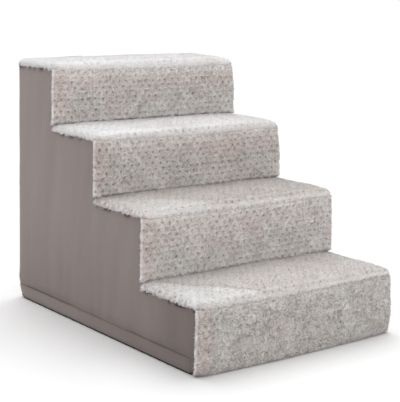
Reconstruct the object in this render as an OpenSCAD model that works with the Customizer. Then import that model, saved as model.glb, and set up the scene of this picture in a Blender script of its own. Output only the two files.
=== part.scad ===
// Four-step pet stairs: a stack of glued foam slabs in a sewn, zipped cover.
// Plush panels lie on the treads and risers, smooth cloth closes the sides and the back.
// The origin is on the floor, at the middle of the footprint. The stairs climb towards +Y.

/* [Steps] */
// Overall width, across the plush
stairs_w = 410; // [300:5:600]
// Depth of the lowest tread, from its riser to the next one
tread_1 = 150; // [120:1:220]
// Depth of the second tread
tread_2 = 145; // [110:1:210]
// Depth of the third tread
tread_3 = 140; // [110:1:210]
// Depth of the top tread, from its riser to the back
tread_4 = 138; // [100:1:200]
// Height of the first step above the floor
rise_1 = 118; // [90:1:150]
// Height of the second step above the first
rise_2 = 115; // [90:1:150]
// Height of the third step above the second
rise_3 = 108; // [90:1:150]
// Height of the top step above the third
rise_4 = 109; // [90:1:150]

/* [Plush] */
// Thickness of the plush, backing and pile together
plush_t = 6; // [6:0.5:9]
// How far the tread's plush reaches down over the edges, to the seam
seam_drop = 12; // [12:1:20]
// Radius of the rounded edges of a tread
edge_r = 11; // [9:1:12]
// Radius of the upright corners beside a riser
corner_r = 6; // [3:0.5:6]
// Height of the lowest riser's pile above the floor
pile_lift = 1; // [0.5:0.5:2]

/* [Foam] */
// Thickness of the soft pad under each tread
topper_t = 20; // [12:1:35]

/* [Smooth cloth] */
// Thickness of the side and back cloth
cloth_t = 2.5; // [1.5:0.5:3.5]
// Thickness of the grippy cloth under the stairs
base_t = 2; // [1:0.5:4]
// Height of the hem band's top edge
hem_h = 25; // [18:1:40]
// Thickness of the hem band over the side cloth
hem_t = 1.2; // [0.5:0.1:1.5]
// Distance from the lowest riser's plush to the end of the hem band
hem_setback = 15; // [0:1:60]

/* [Zip] */
// Distance from each end of the chain of teeth to the foam's corner
zip_inset = 23.5; // [12:0.5:70]
// Distance from one tooth to the next
tooth_pitch = 3; // [2.5:0.5:5]
// Length of a tooth along the chain, at its root
tooth_l = 2.2; // [1.6:0.1:2.3]
// Depth of a row of teeth, away from the slit
tooth_w = 2.8; // [2:0.1:3.2]
// Height of a tooth above its tape
tooth_h = 2.2; // [1.6:0.1:2.2]
// Slit between the two rows
slit_w = 0.8; // [0.6:0.1:1.2]
// Thickness of the zip's tape
tape_t = 0.8; // [0.5:0.1:1]
// Width of tape sewn behind the cloth
tape_lap = 8; // [5:1:12]
// Height of the slot in the cloth that shows the zip
slot_h = 10; // [10:0.5:16]
// Length of an end stop along the chain
stop_l = 3; // [2:0.5:4]

/* [Slider] */
// Length of the slider along the chain
slider_l = 11; // [10:0.5:14]
// Thickness of the slider's two plates
plate_t = 1; // [0.8:0.1:1]
// Thickness of the slider's side flanges
flange_t = 0.8; // [0.5:0.1:0.8]
// Radius of the plates' corners
plate_r = 1.5; // [0.5:0.1:1.8]
// Thickness of the post that joins the plates through the slit
post_t = 0.5; // [0.3:0.1:0.5]
// Length of that post
post_l = 2.5; // [1.5:0.5:4]
// Width of the bail over the outer plate
bail_w = 1.8; // [1.2:0.1:2]
// Thickness of the bail
bail_t = 0.8; // [0.6:0.1:0.8]
// Inner length of the bail
bail_gap = 6; // [5:0.5:6]

/* [Puller] */
// Thickness of the puller and of its end bar
puller_t = 1.2; // [0.8:0.1:1.2]
// Length of the puller from its hinge axis to its tip
puller_l = 25; // [18:1:35]
// Width of the puller's tab
puller_w = 8; // [7:0.5:10]
// Width of each of the two arms beside the bail
arm_w = 1.6; // [1:0.1:1.6]
// Diameter of the hole near the tip
tip_hole_d = 2.4; // [1.5:0.1:3.5]

/* [Fits] */
// Play between the slider and the chain
slide_play = 0.3; // [0.2:0.05:0.4]
// Play of the puller under the bail
pull_play = 0.2; // [0.1:0.05:0.2]

/* [Hidden] */

// Every cut runs past the faces it opens by this much
overrun = 1;
// Thickness of the slices that a rounded block is wrapped around
slice_t = 0.01;
// Number of slices in a quarter round
round_steps = 6;
// Share of a tooth's root length that is left at its crest
crest_share = 0.7;
$fn = 32;

treads = [tread_1, tread_2, tread_3, tread_4];
rises = [rise_1, rise_2, rise_3, rise_4];
last = len(treads) - 1;

function sum_to(list, count) = count == 0 ? 0 : list[count - 1] + sum_to(list, count - 1);
function front_y(i) = sum_to(treads, i) - stairs_d / 2;
function top_z(i) = sum_to(rises, i + 1);

stairs_d = sum_to(treads, last + 1);
back_y = stairs_d / 2;

// The plush stands proud of the smooth cloth, and both lie against the foam
foam_w = stairs_w - 2 * plush_t;
cloth_w = foam_w + 2 * cloth_t;
cloth_back_y = back_y - plush_t + cloth_t;
foam_edge_r = max(edge_r - plush_t, 0);
foam_corner_r = max(corner_r - plush_t, 0);

// The zip's tapes lie behind the back cloth, with their outer faces on this plane
zip_y = back_y - plush_t;
zip_z = hem_h + slot_h / 2;
zip_len = foam_w - 2 * zip_inset;
tape_w = slot_h / 2 - slit_w / 2 + tape_lap;
row_w = slit_w / 2 + tooth_w;
tooth_count = floor(zip_len / tooth_pitch) - 1;

// The slider's plates lie on either side of the chain and tapes
flange_in = row_w + slide_play;
slider_w = 2 * (flange_in + flange_t);
outer_plate_y = tooth_h + slide_play;
inner_plate_y = -tape_t - slide_play - plate_t;
slider_x = zip_len / 2 - slider_l / 2;
zip_pocket = plate_t + tape_t + 2 * slide_play;

// The puller's end bar turns in the gap under the bail
bail_floor_y = outer_plate_y + plate_t;
bail_top_y = bail_floor_y + puller_t + 2 * pull_play;
hinge_y = bail_floor_y + pull_play + puller_t / 2;
bail_l = bail_gap + 2 * bail_t;
arm_in = bail_w / 2 + pull_play;
arm_reach = norm([bail_l / 2, bail_top_y + bail_t - hinge_y]) + pull_play;

plush_colour = [0.80, 0.78, 0.77];
cloth_colour = [0.53, 0.49, 0.47];
foam_colour = [0.93, 0.90, 0.80];
pad_colour = [0.86, 0.90, 0.93];
zip_colour = [0.33, 0.31, 0.30];
metal_colour = [0.62, 0.61, 0.60];

// A block with rounded top edges: front and sides always, and the back too if asked.
// It starts at y = 0 and z = 0, and is centred on x.
module soft_block(w, d, h, top_r, side_r, round_back) {
  r = min(top_r, h - slice_t);
  hull()
    for (side = [-1, 1], end = [0, 1], level = [0 : round_steps]) {
      turn = 90 * level / round_steps;
      inset = r * (1 - cos(turn));
      rounded = end == 0 || round_back;
      corner = rounded ? max(side_r - inset, slice_t) : slice_t;
      end_inset = rounded ? inset : 0;
      x = w / 2 - inset - corner;
      y = end == 0 ? end_inset + corner : d - end_inset - corner;
      z = level == 0 ? 0 : h - r + r * sin(turn) - slice_t;
      tall = level == 0 ? h - r : slice_t;
      translate([side * x, y, z])
        cylinder(r = corner, h = tall);
    }
}

// A glued slab of firm foam, from its own riser to the back of the stairs
module foam_slab(i) {
  start_y = front_y(i) + plush_t;
  end_y = back_y - plush_t - (i == 0 ? zip_pocket : 0);
  start_z = i == 0 ? base_t : top_z(i - 1) - plush_t - topper_t;
  end_z = top_z(i) - plush_t - topper_t;
  color(foam_colour)
    translate([-foam_w / 2, start_y, start_z])
      cube([foam_w, end_y - start_y, end_z - start_z]);
}

// The softer pad glued on top of a slab, where the tread is
module topper_pad(i) {
  pad_d = i == last ? treads[i] - 2 * plush_t : treads[i];
  color(pad_colour)
    translate([0, front_y(i) + plush_t, top_z(i) - plush_t - topper_t])
      soft_block(foam_w, pad_d, topper_t, foam_edge_r, foam_corner_r, i == last);
}

// The plush cap of a tread: it hangs over the front and the sides down to the seam,
// and runs back under the foot of the next riser. The top one hangs over the back as well.
module tread_cover(i) {
  is_top = i == last;
  cap_d = is_top ? treads[i] : treads[i] + plush_t;
  hollow_d = is_top ? cap_d - 2 * plush_t : cap_d - plush_t + overrun;
  color(plush_colour)
    difference() {
      translate([0, front_y(i), top_z(i) - seam_drop])
        soft_block(stairs_w, cap_d, seam_drop, edge_r, corner_r, is_top);
      translate([0, front_y(i) + plush_t, top_z(i) - seam_drop - overrun])
        soft_block(foam_w, hollow_d, seam_drop - plush_t + overrun, foam_edge_r, foam_corner_r, is_top);
    }
}

// The plush panel of a riser, with its two upright corners rounded
module riser_cover(i) {
  start_z = i == 0 ? pile_lift : top_z(i - 1);
  end_z = top_z(i) - seam_drop;
  color(plush_colour)
    translate([0, front_y(i), start_z])
      linear_extrude(end_z - start_z)
        intersection() {
          union() {
            translate([-stairs_w / 2 + corner_r, 0])
              square([stairs_w - 2 * corner_r, plush_t]);
            translate([-stairs_w / 2, corner_r])
              square([stairs_w, plush_t]);
            for (side = [-1, 1])
              translate([side * (stairs_w / 2 - corner_r), corner_r])
                circle(corner_r);
          }
          translate([-stairs_w / 2, 0])
            square([stairs_w, plush_t]);
        }
}

// The stepped outline of the side cloth, in y and z: it starts behind each riser's plush
// and ends at the seam under each tread's plush
function step_corners(i) = [
  [front_y(i) + plush_t, top_z(i) - seam_drop],
  [i == last ? cloth_back_y : front_y(i + 1) + plush_t, top_z(i) - seam_drop]
];
side_outline = concat(
  [[cloth_back_y, base_t], [front_y(0) + plush_t, base_t]],
  [for (i = [0 : last]) for (corner = step_corners(i)) corner]
);

module side_panel(side) {
  start_x = side < 0 ? -foam_w / 2 - cloth_t : foam_w / 2;
  color(cloth_colour)
    translate([start_x, 0, 0])
      rotate([90, 0, 90])
        linear_extrude(cloth_t)
          polygon(side_outline);
}

// The folded band sewn over the foot of the side cloth
module hem_band(side) {
  start_x = side < 0 ? -cloth_w / 2 - hem_t : cloth_w / 2;
  start_y = front_y(0) + plush_t + hem_setback;
  color(cloth_colour)
    translate([start_x, start_y, pile_lift])
      cube([hem_t, cloth_back_y - start_y, hem_h - pile_lift]);
}

module back_cloth(start_z, end_z) {
  color(cloth_colour)
    translate([-foam_w / 2, zip_y, start_z])
      cube([foam_w, cloth_t, end_z - start_z]);
}

module back_panel() {
  back_cloth(hem_h + slot_h, top_z(last) - seam_drop);
}

module back_hem_strip() {
  back_cloth(base_t, hem_h);
}

// The grippy cloth that the stairs stand on
module base_panel() {
  start_y = front_y(0) + plush_t;
  color(zip_colour)
    translate([-cloth_w / 2, start_y, 0])
      cube([cloth_w, cloth_back_y - start_y, base_t]);
}

// Half of a zip: side is 1 above the slit and -1 below it
module zip_tape(side) {
  start_z = side < 0 ? zip_z - slit_w / 2 - tape_w : zip_z + slit_w / 2;
  color(zip_colour)
    translate([-foam_w / 2, zip_y - tape_t, start_z])
      cube([foam_w, tape_t, tape_w]);
}

// The two rows are set half a pitch apart
module zip_teeth(side) {
  start_x = -tooth_pitch * tooth_count / 2 + tooth_pitch * (side < 0 ? 1 / 4 : 3 / 4);
  start_z = side < 0 ? zip_z - row_w : zip_z + slit_w / 2;
  crest_l = tooth_l * crest_share;
  color(zip_colour)
    for (k = [0 : tooth_count - 1])
      translate([start_x + k * tooth_pitch, zip_y, start_z])
        linear_extrude(tooth_w)
          polygon([[-tooth_l / 2, 0], [tooth_l / 2, 0], [crest_l / 2, tooth_h], [-crest_l / 2, tooth_h]]);
}

// One stop on each tape, where the slider rests when the zip is closed
module zip_top_stops() {
  stop_w = slider_w / 2 - slit_w / 2;
  color(metal_colour)
    for (start_z = [zip_z + slit_w / 2, zip_z - slit_w / 2 - stop_w])
      translate([zip_len / 2 + slide_play, zip_y, start_z])
        cube([stop_l, tooth_h, stop_w]);
}

// One stop across both tapes, where the slider ends when the zip is open
module zip_bottom_stop() {
  color(metal_colour)
    translate([-zip_len / 2 - slide_play - stop_l, zip_y, zip_z - slider_w / 2])
      cube([stop_l, tooth_h, slider_w]);
}

module slider_plate() {
  rotate([-90, 0, 0])
    linear_extrude(plate_t) {
      square([slider_l - 2 * plate_r, slider_w], center = true);
      square([slider_l, slider_w - 2 * plate_r], center = true);
      for (x = [-1, 1], z = [-1, 1])
        translate([x * (slider_l / 2 - plate_r), z * (slider_w / 2 - plate_r)])
          circle(plate_r);
    }
}

// Two plates joined by a thin post in the slit, flanges beside the teeth, and the bail
module zip_slider() {
  color(metal_colour)
    translate([slider_x, zip_y, zip_z]) {
      translate([0, outer_plate_y, 0])
        slider_plate();
      translate([0, inner_plate_y, 0])
        slider_plate();
      translate([slider_l / 2 - plate_r - post_l, inner_plate_y + plate_t / 2, -post_t / 2])
        cube([post_l, outer_plate_y - inner_plate_y, post_t]);
      for (start_z = [-slider_w / 2, slider_w / 2 - flange_t])
        translate([plate_r - slider_l / 2, slide_play, start_z])
          cube([slider_l - 2 * plate_r, outer_plate_y + plate_t / 2 - slide_play, flange_t]);
      for (start_x = [-bail_l / 2, bail_gap / 2])
        translate([start_x, bail_floor_y - plate_t / 2, -bail_w / 2])
          cube([bail_t, bail_top_y + bail_t - bail_floor_y + plate_t / 2, bail_w]);
      translate([-bail_l / 2, bail_top_y, -bail_w / 2])
        cube([bail_l, bail_t, bail_w]);
    }
}

// The pull tab: two arms reach past the bail to a round bar that lies under it
module zip_puller() {
  bar_w = 2 * (arm_in + arm_w);
  color(metal_colour)
    translate([slider_x, zip_y + hinge_y, zip_z]) {
      translate([0, 0, -bar_w / 2])
        cylinder(d = puller_t, h = bar_w);
      rotate([90, 0, 0])
        linear_extrude(puller_t, center = true)
          difference() {
            union() {
              for (start_z = [-bar_w / 2, arm_in])
                translate([-arm_reach - arm_w, start_z])
                  square([arm_reach + arm_w, arm_w]);
              translate([puller_w / 2 - puller_l, -puller_w / 2])
                square([puller_l - puller_w / 2 - arm_reach, puller_w]);
              translate([puller_w / 2 - puller_l, 0])
                circle(d = puller_w);
            }
            translate([puller_w / 2 - puller_l, 0])
              circle(d = tip_hole_d);
          }
    }
}

foam_slab(0);  // foam_slab_1
foam_slab(1);  // foam_slab_2
foam_slab(2);  // foam_slab_3
foam_slab(3);  // foam_slab_4
topper_pad(0);  // topper_pad_1
topper_pad(1);  // topper_pad_2
topper_pad(2);  // topper_pad_3
topper_pad(3);  // topper_pad_4
tread_cover(0);  // tread_cover_1
tread_cover(1);  // tread_cover_2
tread_cover(2);  // tread_cover_3
tread_cover(3);  // tread_cover_4
riser_cover(0);  // riser_cover_1
riser_cover(1);  // riser_cover_2
riser_cover(2);  // riser_cover_3
riser_cover(3);  // riser_cover_4
side_panel(-1);  // left_side_panel
side_panel(1);  // right_side_panel
hem_band(-1);  // left_hem_band
hem_band(1);  // right_hem_band
back_panel();
back_hem_strip();
base_panel();
zip_tape(1);  // zip_tape_upper
zip_tape(-1);  // zip_tape_lower
zip_teeth(1);  // zip_teeth_upper
zip_teeth(-1);  // zip_teeth_lower
zip_top_stops();
zip_bottom_stop();
zip_slider();
zip_puller();
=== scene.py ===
# %% [markdown]
# # Pet stairs
#
# The object is a stack of foam slabs inside a sewn and zipped cover. The treads and risers are a
# light grey dimpled plush, the sides and the back are a smooth taupe cloth, and the foot of each side
# has a folded hem band.
#
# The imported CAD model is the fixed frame. Every new piece takes its place from a CAD node's box,
# so nothing has to be fitted by eye afterwards. Soft solids are replaced, and the hard little parts of
# the zip keep their CAD shape and only get a finish.

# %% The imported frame
import math

import bpy
import numpy as np
from mathutils import Matrix, Vector


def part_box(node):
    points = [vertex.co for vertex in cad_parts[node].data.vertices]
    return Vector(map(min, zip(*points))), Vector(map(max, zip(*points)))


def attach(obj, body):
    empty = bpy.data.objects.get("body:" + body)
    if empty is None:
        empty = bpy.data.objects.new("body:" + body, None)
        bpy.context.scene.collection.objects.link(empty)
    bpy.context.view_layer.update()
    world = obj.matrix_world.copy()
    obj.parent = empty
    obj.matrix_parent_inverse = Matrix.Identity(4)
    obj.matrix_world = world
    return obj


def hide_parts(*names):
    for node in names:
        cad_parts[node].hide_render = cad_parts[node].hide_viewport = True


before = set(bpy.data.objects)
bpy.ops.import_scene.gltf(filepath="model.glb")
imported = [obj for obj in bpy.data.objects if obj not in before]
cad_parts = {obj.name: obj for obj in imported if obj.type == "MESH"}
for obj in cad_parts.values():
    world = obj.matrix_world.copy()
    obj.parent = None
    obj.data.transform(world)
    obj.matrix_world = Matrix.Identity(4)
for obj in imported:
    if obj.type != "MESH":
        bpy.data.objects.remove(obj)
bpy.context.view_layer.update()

# %% [markdown]
# ## Places, in millimetres
#
# A cloth maker works in millimetres, and so does this script until a mesh is made. The steps' fronts,
# tops and seams are read from the nodes' boxes, so the pieces still fit if the stairs change size.

# %% Places
MM = 0.001


def box_mm(node):
    """The lowest and highest corner of a CAD node, in millimetres."""
    return [np.array(corner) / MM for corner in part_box(node)]


STEPS = range(4)
tread_box = [box_mm(f"tread_cover_{i + 1}") for i in STEPS]
riser_box = [box_mm(f"riser_cover_{i + 1}") for i in STEPS]
side_box = box_mm("left_side_panel")
half_w = tread_box[0][1][0]
front_y = [lo[1] for lo, hi in riser_box]
seam_z = [hi[2] for lo, hi in riser_box]
top_z = [hi[2] for lo, hi in tread_box]
back_y = tread_box[3][1][1]
plush_t = riser_box[0][1][1] - riser_box[0][0][1]
print("steps' tops", np.round(top_z, 1), "fronts", np.round(front_y, 1), "plush", round(plush_t, 2))

# %% [markdown]
# ## Camera
#
# The lens is about 100 mm on a 36 mm sensor, so the stairs look nearly parallel. The camera stands
# left of the front, a little above the middle step, and is aimed at the middle of the object. Its
# turn, height and distance are those of the photograph.

# %% Camera
IMAGE_LONG_SIDE = 402
FOCAL_PIXELS = 1143
SENSOR_WIDTH = 36            # in mm
CAMERA_TURN, CAMERA_RISE, CAMERA_ROLL = np.radians([-36.98, 10.68, 0.72])
CAMERA_DISTANCE = 2.035
CAMERA_RIGHT, CAMERA_UP = 0.0070, -0.0173
AIM_HEIGHT = 0.225


def add_object(name, data):
    """Puts a mesh, lamp or camera into the scene as an object."""
    thing = bpy.data.objects.new(name, data)
    bpy.context.scene.collection.objects.link(thing)
    return thing


def toward(turn, rise):
    """The way from the stairs to what stands `turn` to the right of their front and `rise` above level."""
    return np.array([math.sin(turn) * math.cos(rise), -math.cos(turn) * math.cos(rise), math.sin(rise)])


backward = toward(CAMERA_TURN, CAMERA_RISE)
level = np.array([math.cos(CAMERA_TURN), math.sin(CAMERA_TURN), 0.0])
upward = np.cross(backward, level)
right = math.cos(CAMERA_ROLL) * level + math.sin(CAMERA_ROLL) * upward
top = -math.sin(CAMERA_ROLL) * level + math.cos(CAMERA_ROLL) * upward
eye = backward * CAMERA_DISTANCE + right * CAMERA_RIGHT + top * CAMERA_UP + np.array([0, 0, AIM_HEIGHT])

camera_data = bpy.data.cameras.new("camera")
camera_data.sensor_width = SENSOR_WIDTH
camera_data.lens = SENSOR_WIDTH * FOCAL_PIXELS / IMAGE_LONG_SIDE
camera_data.clip_start = 0.05
camera = add_object("camera", camera_data)
turn = Matrix((right, top, backward)).transposed()
camera.matrix_world = Matrix.Translation(Vector(eye)) @ turn.to_4x4()
bpy.context.scene.camera = camera
print("lens", round(camera_data.lens, 1), "mm, eye", np.round(eye, 3))

# %% [markdown]
# ## Colours and nodes
#
# Colours are picked as sRGB hex values, as they look on a screen, and one function turns them to the
# linear values that Blender computes with. A second small function adds a shader node with its
# settings and links, so that a material reads as a short list.


# %% Colours and nodes
def to_linear(hex_colour):
    """sRGB hex to linear RGBA: below 0.04045 a straight line, above it a power of 2.4."""
    srgb = np.array([int(hex_colour[i:i + 2], 16) for i in (1, 3, 5)]) / 255
    linear = np.where(srgb <= 0.04045, srgb / 12.92, ((srgb + 0.055) / 1.055) ** 2.4)
    return (*linear, 1.0)


def add_node(tree, kind, values=None, links=None, stops=(), **settings):
    """Adds a node: settings are its properties, values its input numbers, links its input wires, and
    stops the places and hex colours of a colour ramp."""
    node = tree.nodes.new(kind)
    for name, value in settings.items():
        setattr(node, name, value)
    for name, value in (values or {}).items():
        node.inputs[name].default_value = value
    for name, socket in (links or {}).items():
        tree.links.new(socket, node.inputs[name])
    points = node.color_ramp.elements if stops else []
    while len(points) < len(stops):
        points.new(0.5)
    for point, (place, colour) in zip(points, stops):
        point.position = place
        point.color = to_linear(colour)
    return node


def new_material(name, **surface):
    """A material with one Principled BSDF, whose plain numbers are set on the shader's own sockets. Gives
    the material, its node tree, and the Object coordinates that its patterns are placed by."""
    material = bpy.data.materials.new(name)
    material.use_nodes = True
    tree = material.node_tree
    for socket, value in surface.items():
        tree.nodes["Principled BSDF"].inputs[socket.replace("_", " ")].default_value = value
    print("finish", name)
    return material, tree, add_node(tree, "ShaderNodeTexCoord").outputs["Object"]


def wire_shader(tree, colour, rough=None, height=None, strength=0.0, depth=0.0):
    """Wires the shader's colour, its roughness where that varies, and a bump that follows a height
    pattern. The bump's strength is a share, and its depth is in metres."""
    shader = tree.nodes["Principled BSDF"]
    tree.links.new(colour, shader.inputs["Base Color"])
    if rough is not None:
        tree.links.new(rough, shader.inputs["Roughness"])
    if height is not None:
        bump = add_node(
            tree, "ShaderNodeBump", {"Strength": strength, "Distance": depth}, {"Height": height})
        tree.links.new(bump.outputs["Normal"], shader.inputs["Normal"])


# %% [markdown]
# ## Finishes
#
# Plush is polyester pile knitted into a backing and embossed with small pits. It has no gloss at all,
# but the pile's tips catch light at a low angle, which is what sheen gives. Each mesh carries a `shade`
# value, 0 down in a pit and 1 on combed tips. It follows how the pile lies, and it also holds painted
# shade and painted light: darker in the pits, furrows, creases and corners, and lighter on rims, edges and
# the treads. A second value, `warmth`, turns the grey a little pinker, as it is near the upright seams.

# %% Plush
PILE_GRAIN = 1 / 0.0022      # tufts about 2 mm across, as coarse as a render of this size can show
PILE_PATCH = 1 / 0.035       # warmer and cooler patches of a few centimetres
GRAIN_SHOWS, PATCH_SHOWS = 0.09, 0.22

plush, tree, place = new_material(
    "knitted_pile_plush", Roughness=1.0, Sheen_Weight=0.25, Sheen_Roughness=0.6, Specular_IOR_Level=0.2)
shade, warmth = [
    add_node(tree, "ShaderNodeAttribute", attribute_name=name).outputs["Fac"]
    for name in ("shade", "warmth")]
grain, patch = [
    add_node(tree, "ShaderNodeTexNoise", {"Scale": scale, "Detail": 2.0}, {"Vector": place}).outputs["Fac"]
    for scale in (PILE_GRAIN, PILE_PATCH)]
mottled, which = [
    add_node(
        tree, "ShaderNodeMapRange", {"From Min": 0.3, "From Max": 0.7, "To Min": -most, "To Max": most},
        {"Value": pattern}).outputs["Result"]
    for pattern, most in ((grain, GRAIN_SHOWS), (patch, PATCH_SHOWS))]
lit = add_node(tree, "ShaderNodeMath", links={0: shade, 1: mottled}, operation="ADD").outputs["Value"]
warmer = add_node(
    tree, "ShaderNodeMath", links={0: warmth, 1: which}, operation="ADD", use_clamp=True).outputs["Value"]
cool, warm = [
    add_node(
        tree, "ShaderNodeValToRGB", links={"Fac": lit}, stops=list(zip((0.0, 0.3, 0.6, 1.0), colours))
    ).outputs["Color"]
    for colours in (
        ("#6A6663", "#ABA59F", "#D1CDC9", "#F7F7F8"), ("#706560", "#B3A49E", "#D6CAC6", "#F8F5F5"))]
colour = add_node(tree, "ShaderNodeMix", links={"Factor": warmer, 6: cool, 7: warm}, data_type="RGBA")
wire_shader(tree, colour.outputs[2], height=grain, strength=0.5, depth=0.0015)

# %% [markdown]
# The sides are a brushed polyester microfibre: a tight weave whose surface is sanded to a short nap.
# It is matt and even, with a soft sheen, and the nap shows as faint darker and lighter strokes. Each mesh
# carries a `tone`, with these strokes and painted shade: darker near the foot, near the front and over the
# hem band.

# %% Side cloth
NAP = 1 / 0.0016             # fibre bundles of 1.6 mm, drawn coarser than the real thread so that they show
STROKE = (1 / 0.06, 1 / 0.06, 1 / 0.3)    # brushed strokes, 60 mm wide and 300 mm tall
STROKE_SHOWS, NAP_SHOWS = 0.25, 0.10

side_cloth, tree, place = new_material(
    "brushed_microfibre", Roughness=0.85, Sheen_Weight=0.2, Sheen_Roughness=0.5, Specular_IOR_Level=0.25)
mixed = add_node(tree, "ShaderNodeAttribute", attribute_name="tone").outputs["Fac"]
long_place = add_node(tree, "ShaderNodeMapping", {"Scale": STROKE}, {"Vector": place}).outputs["Vector"]
stroke, nap = [
    add_node(tree, "ShaderNodeTexNoise", {"Scale": scale, "Detail": 3.0}, {"Vector": where}).outputs["Fac"]
    for scale, where in ((1.0, long_place), (NAP, place))]
for pattern, shows in ((stroke, STROKE_SHOWS), (nap, NAP_SHOWS)):
    mixed = add_node(
        tree, "ShaderNodeMath", {1: shows}, {0: pattern, 2: mixed},
        operation="MULTIPLY_ADD").outputs["Value"]
# The darkest stop is for the painted shadow of the dashes under the seams.
colour = add_node(tree, "ShaderNodeValToRGB", links={"Fac": mixed}, stops=[
    (0.1, "#453C3A"), (0.3, "#786D6A"), (0.5, "#857976"), (1.0, "#A59895")])
wire_shader(tree, colour.outputs["Color"], height=nap, strength=0.25, depth=0.0005)

# %% [markdown]
# The foam is open-cell polyurethane, cut with a blade from a large block. Its cut skin shows the cells
# as a fine sponge grain. The firm slabs are cream, and the softer pads a cool white.

# %% Foam finishes
CELL = 1 / 0.0018            # cells of about 2 mm
AGEING = 12.0                # patches of about 80 mm that have yellowed
PIT_PALE = 0.25              # how pale the foam is drawn even in a pit, where its painted shade is deepest, from 0 to 1


def cut_foam(name, dark, pale):
    """Open-cell foam: pits of a cell pattern, painted darker inside as shade, and a slow yellowing in
    patches.
    """
    material, tree, place = new_material(name, Roughness=0.95, Specular_IOR_Level=0.2)
    cell = add_node(tree, "ShaderNodeTexVoronoi", {"Scale": CELL}, {"Vector": place}).outputs["Distance"]
    age = add_node(tree, "ShaderNodeTexNoise", {"Scale": AGEING, "Detail": 2.0}, {"Vector": place})
    mixed = add_node(
        tree, "ShaderNodeMath", {2: PIT_PALE}, {0: cell, 1: age.outputs["Fac"]}, operation="MULTIPLY_ADD")
    colour = add_node(
        tree, "ShaderNodeValToRGB", links={"Fac": mixed.outputs["Value"]}, stops=[(0.1, dark), (0.7, pale)])
    wire_shader(tree, colour.outputs["Color"], height=cell, strength=0.4, depth=0.0008)
    return material


firm_foam = cut_foam("cut_polyurethane_foam_firm", "#D8CFB2", "#F2EAD2")
soft_foam = cut_foam("cut_polyurethane_foam_soft", "#CDD6DC", "#EEF3F7")

# %% [markdown]
# The base is a knitted polyester with dots of soft PVC printed on it. The dots are a little glossier
# than the cloth, because they are a smooth plastic. The mesh carries a `dot` value that is 1 on them.

# %% Grip cloth
# Blender's wave pattern repeats 3.18 times in one unit of its scale, so this gives loops of 2.6 mm. They
# are drawn coarser than the real ones, so that they show.
KNIT = 1 / 0.0084

grip_cloth, tree, place = new_material("knit_with_pvc_dots", Specular_IOR_Level=0.4)
loops = add_node(
    tree, "ShaderNodeTexWave", {"Scale": KNIT, "Distortion": 1.5}, {"Vector": place}).outputs["Fac"]
dot = add_node(tree, "ShaderNodeAttribute", attribute_name="dot").outputs["Fac"]
knit = add_node(
    tree, "ShaderNodeValToRGB", links={"Fac": loops}, stops=[(0.0, "#35322F"), (1.0, "#4A4643")])
colour = add_node(
    tree, "ShaderNodeMix", {7: to_linear("#2B2A2A")}, {"Factor": dot, 6: knit.outputs["Color"]},
    data_type="RGBA")
rough = add_node(tree, "ShaderNodeMapRange", {"To Min": 0.95, "To Max": 0.45}, {"Value": dot})
wire_shader(tree, colour.outputs[2], rough.outputs["Result"], loops, 0.3, 0.0004)

# %% [markdown]
# Zip tape is a polyester twill, woven in fine slanting ribs. The teeth are moulded acetal in the same
# dark taupe, smoother than the tape. The stops, slider and puller are die-cast zinc with a satin nickel
# plating: a metal, so it keeps the default IOR, with a fine grain that breaks up its gloss.

# %% Zip finishes
RIB = 1 / 0.0054             # twill ribs 1.7 mm apart, worked out as for the knitted loops
RIB_SLANT = math.radians(35)
MOULD_FLOW = 900.0           # flow marks of about a millimetre on the moulded teeth
PLATING_GRAIN = 1 / 0.0006
WORN_PATCH = 220.0           # handled patches of a few millimetres on the plating

zip_cloth, tree, place = new_material("twill_woven_tape", Roughness=0.8, Specular_IOR_Level=0.3)
slanted = add_node(
    tree, "ShaderNodeMapping", {"Rotation": (0, RIB_SLANT, 0)}, {"Vector": place}).outputs["Vector"]
rib = add_node(
    tree, "ShaderNodeTexWave", {"Scale": RIB, "Distortion": 0.6}, {"Vector": slanted}).outputs["Fac"]
colour = add_node(
    tree, "ShaderNodeValToRGB", links={"Fac": rib}, stops=[(0.0, "#4B4643"), (1.0, "#69635F")])
wire_shader(tree, colour.outputs["Color"], height=rib, strength=0.4, depth=0.0002)

teeth_plastic, tree, place = new_material("moulded_acetal", Specular_IOR_Level=0.5)
flow = add_node(
    tree, "ShaderNodeTexNoise", {"Scale": MOULD_FLOW, "Detail": 2.0}, {"Vector": place}).outputs["Fac"]
colour = add_node(
    tree, "ShaderNodeValToRGB", links={"Fac": flow}, stops=[(0.3, "#55504D"), (0.7, "#625C58")])
rough = add_node(tree, "ShaderNodeMapRange", {"To Min": 0.35, "To Max": 0.6}, {"Value": flow})
wire_shader(tree, colour.outputs["Color"], rough.outputs["Result"])

nickel, tree, place = new_material("satin_nickel_plated_zinc", Metallic=1.0)
grain = add_node(
    tree, "ShaderNodeTexNoise", {"Scale": PLATING_GRAIN, "Detail": 3.0}, {"Vector": place}).outputs["Fac"]
worn = add_node(tree, "ShaderNodeTexNoise", {"Scale": WORN_PATCH, "Detail": 2.0}, {"Vector": place})
colour = add_node(
    tree, "ShaderNodeValToRGB", links={"Fac": worn.outputs["Fac"]},
    stops=[(0.35, "#A5A19B"), (0.65, "#C6C2BC")])
rough = add_node(tree, "ShaderNodeMapRange", {"To Min": 0.25, "To Max": 0.5}, {"Value": grain})
wire_shader(tree, colour.outputs["Color"], rough.outputs["Result"], grain, 0.15, 0.0001)

# %% [markdown]
# ## Meshes from arrays
#
# A sheet of cloth is two grids of points with the same size: its face and its back. Quads join the
# points of each grid, and a strip of quads along every open edge closes the sheet to a thin solid, so
# it has a real thickness and no holes. A mask leaves out cells, which cuts a stepped outline.


# %% Meshes from arrays
SPREAD_FOOT, SPREAD_TOP = 1.020, 0.985    # the soft stack is a little wider at its foot than at its top
FOOT_CORNER_FRONT, FOOT_CORNER_BACK = 1.8, 4.0    # how far the corners of the foot draw in
FOOT_CORNER_UP = 0.7                      # what share of that they rise
FOOT_REACH = 16.0                         # how far round them


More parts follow.
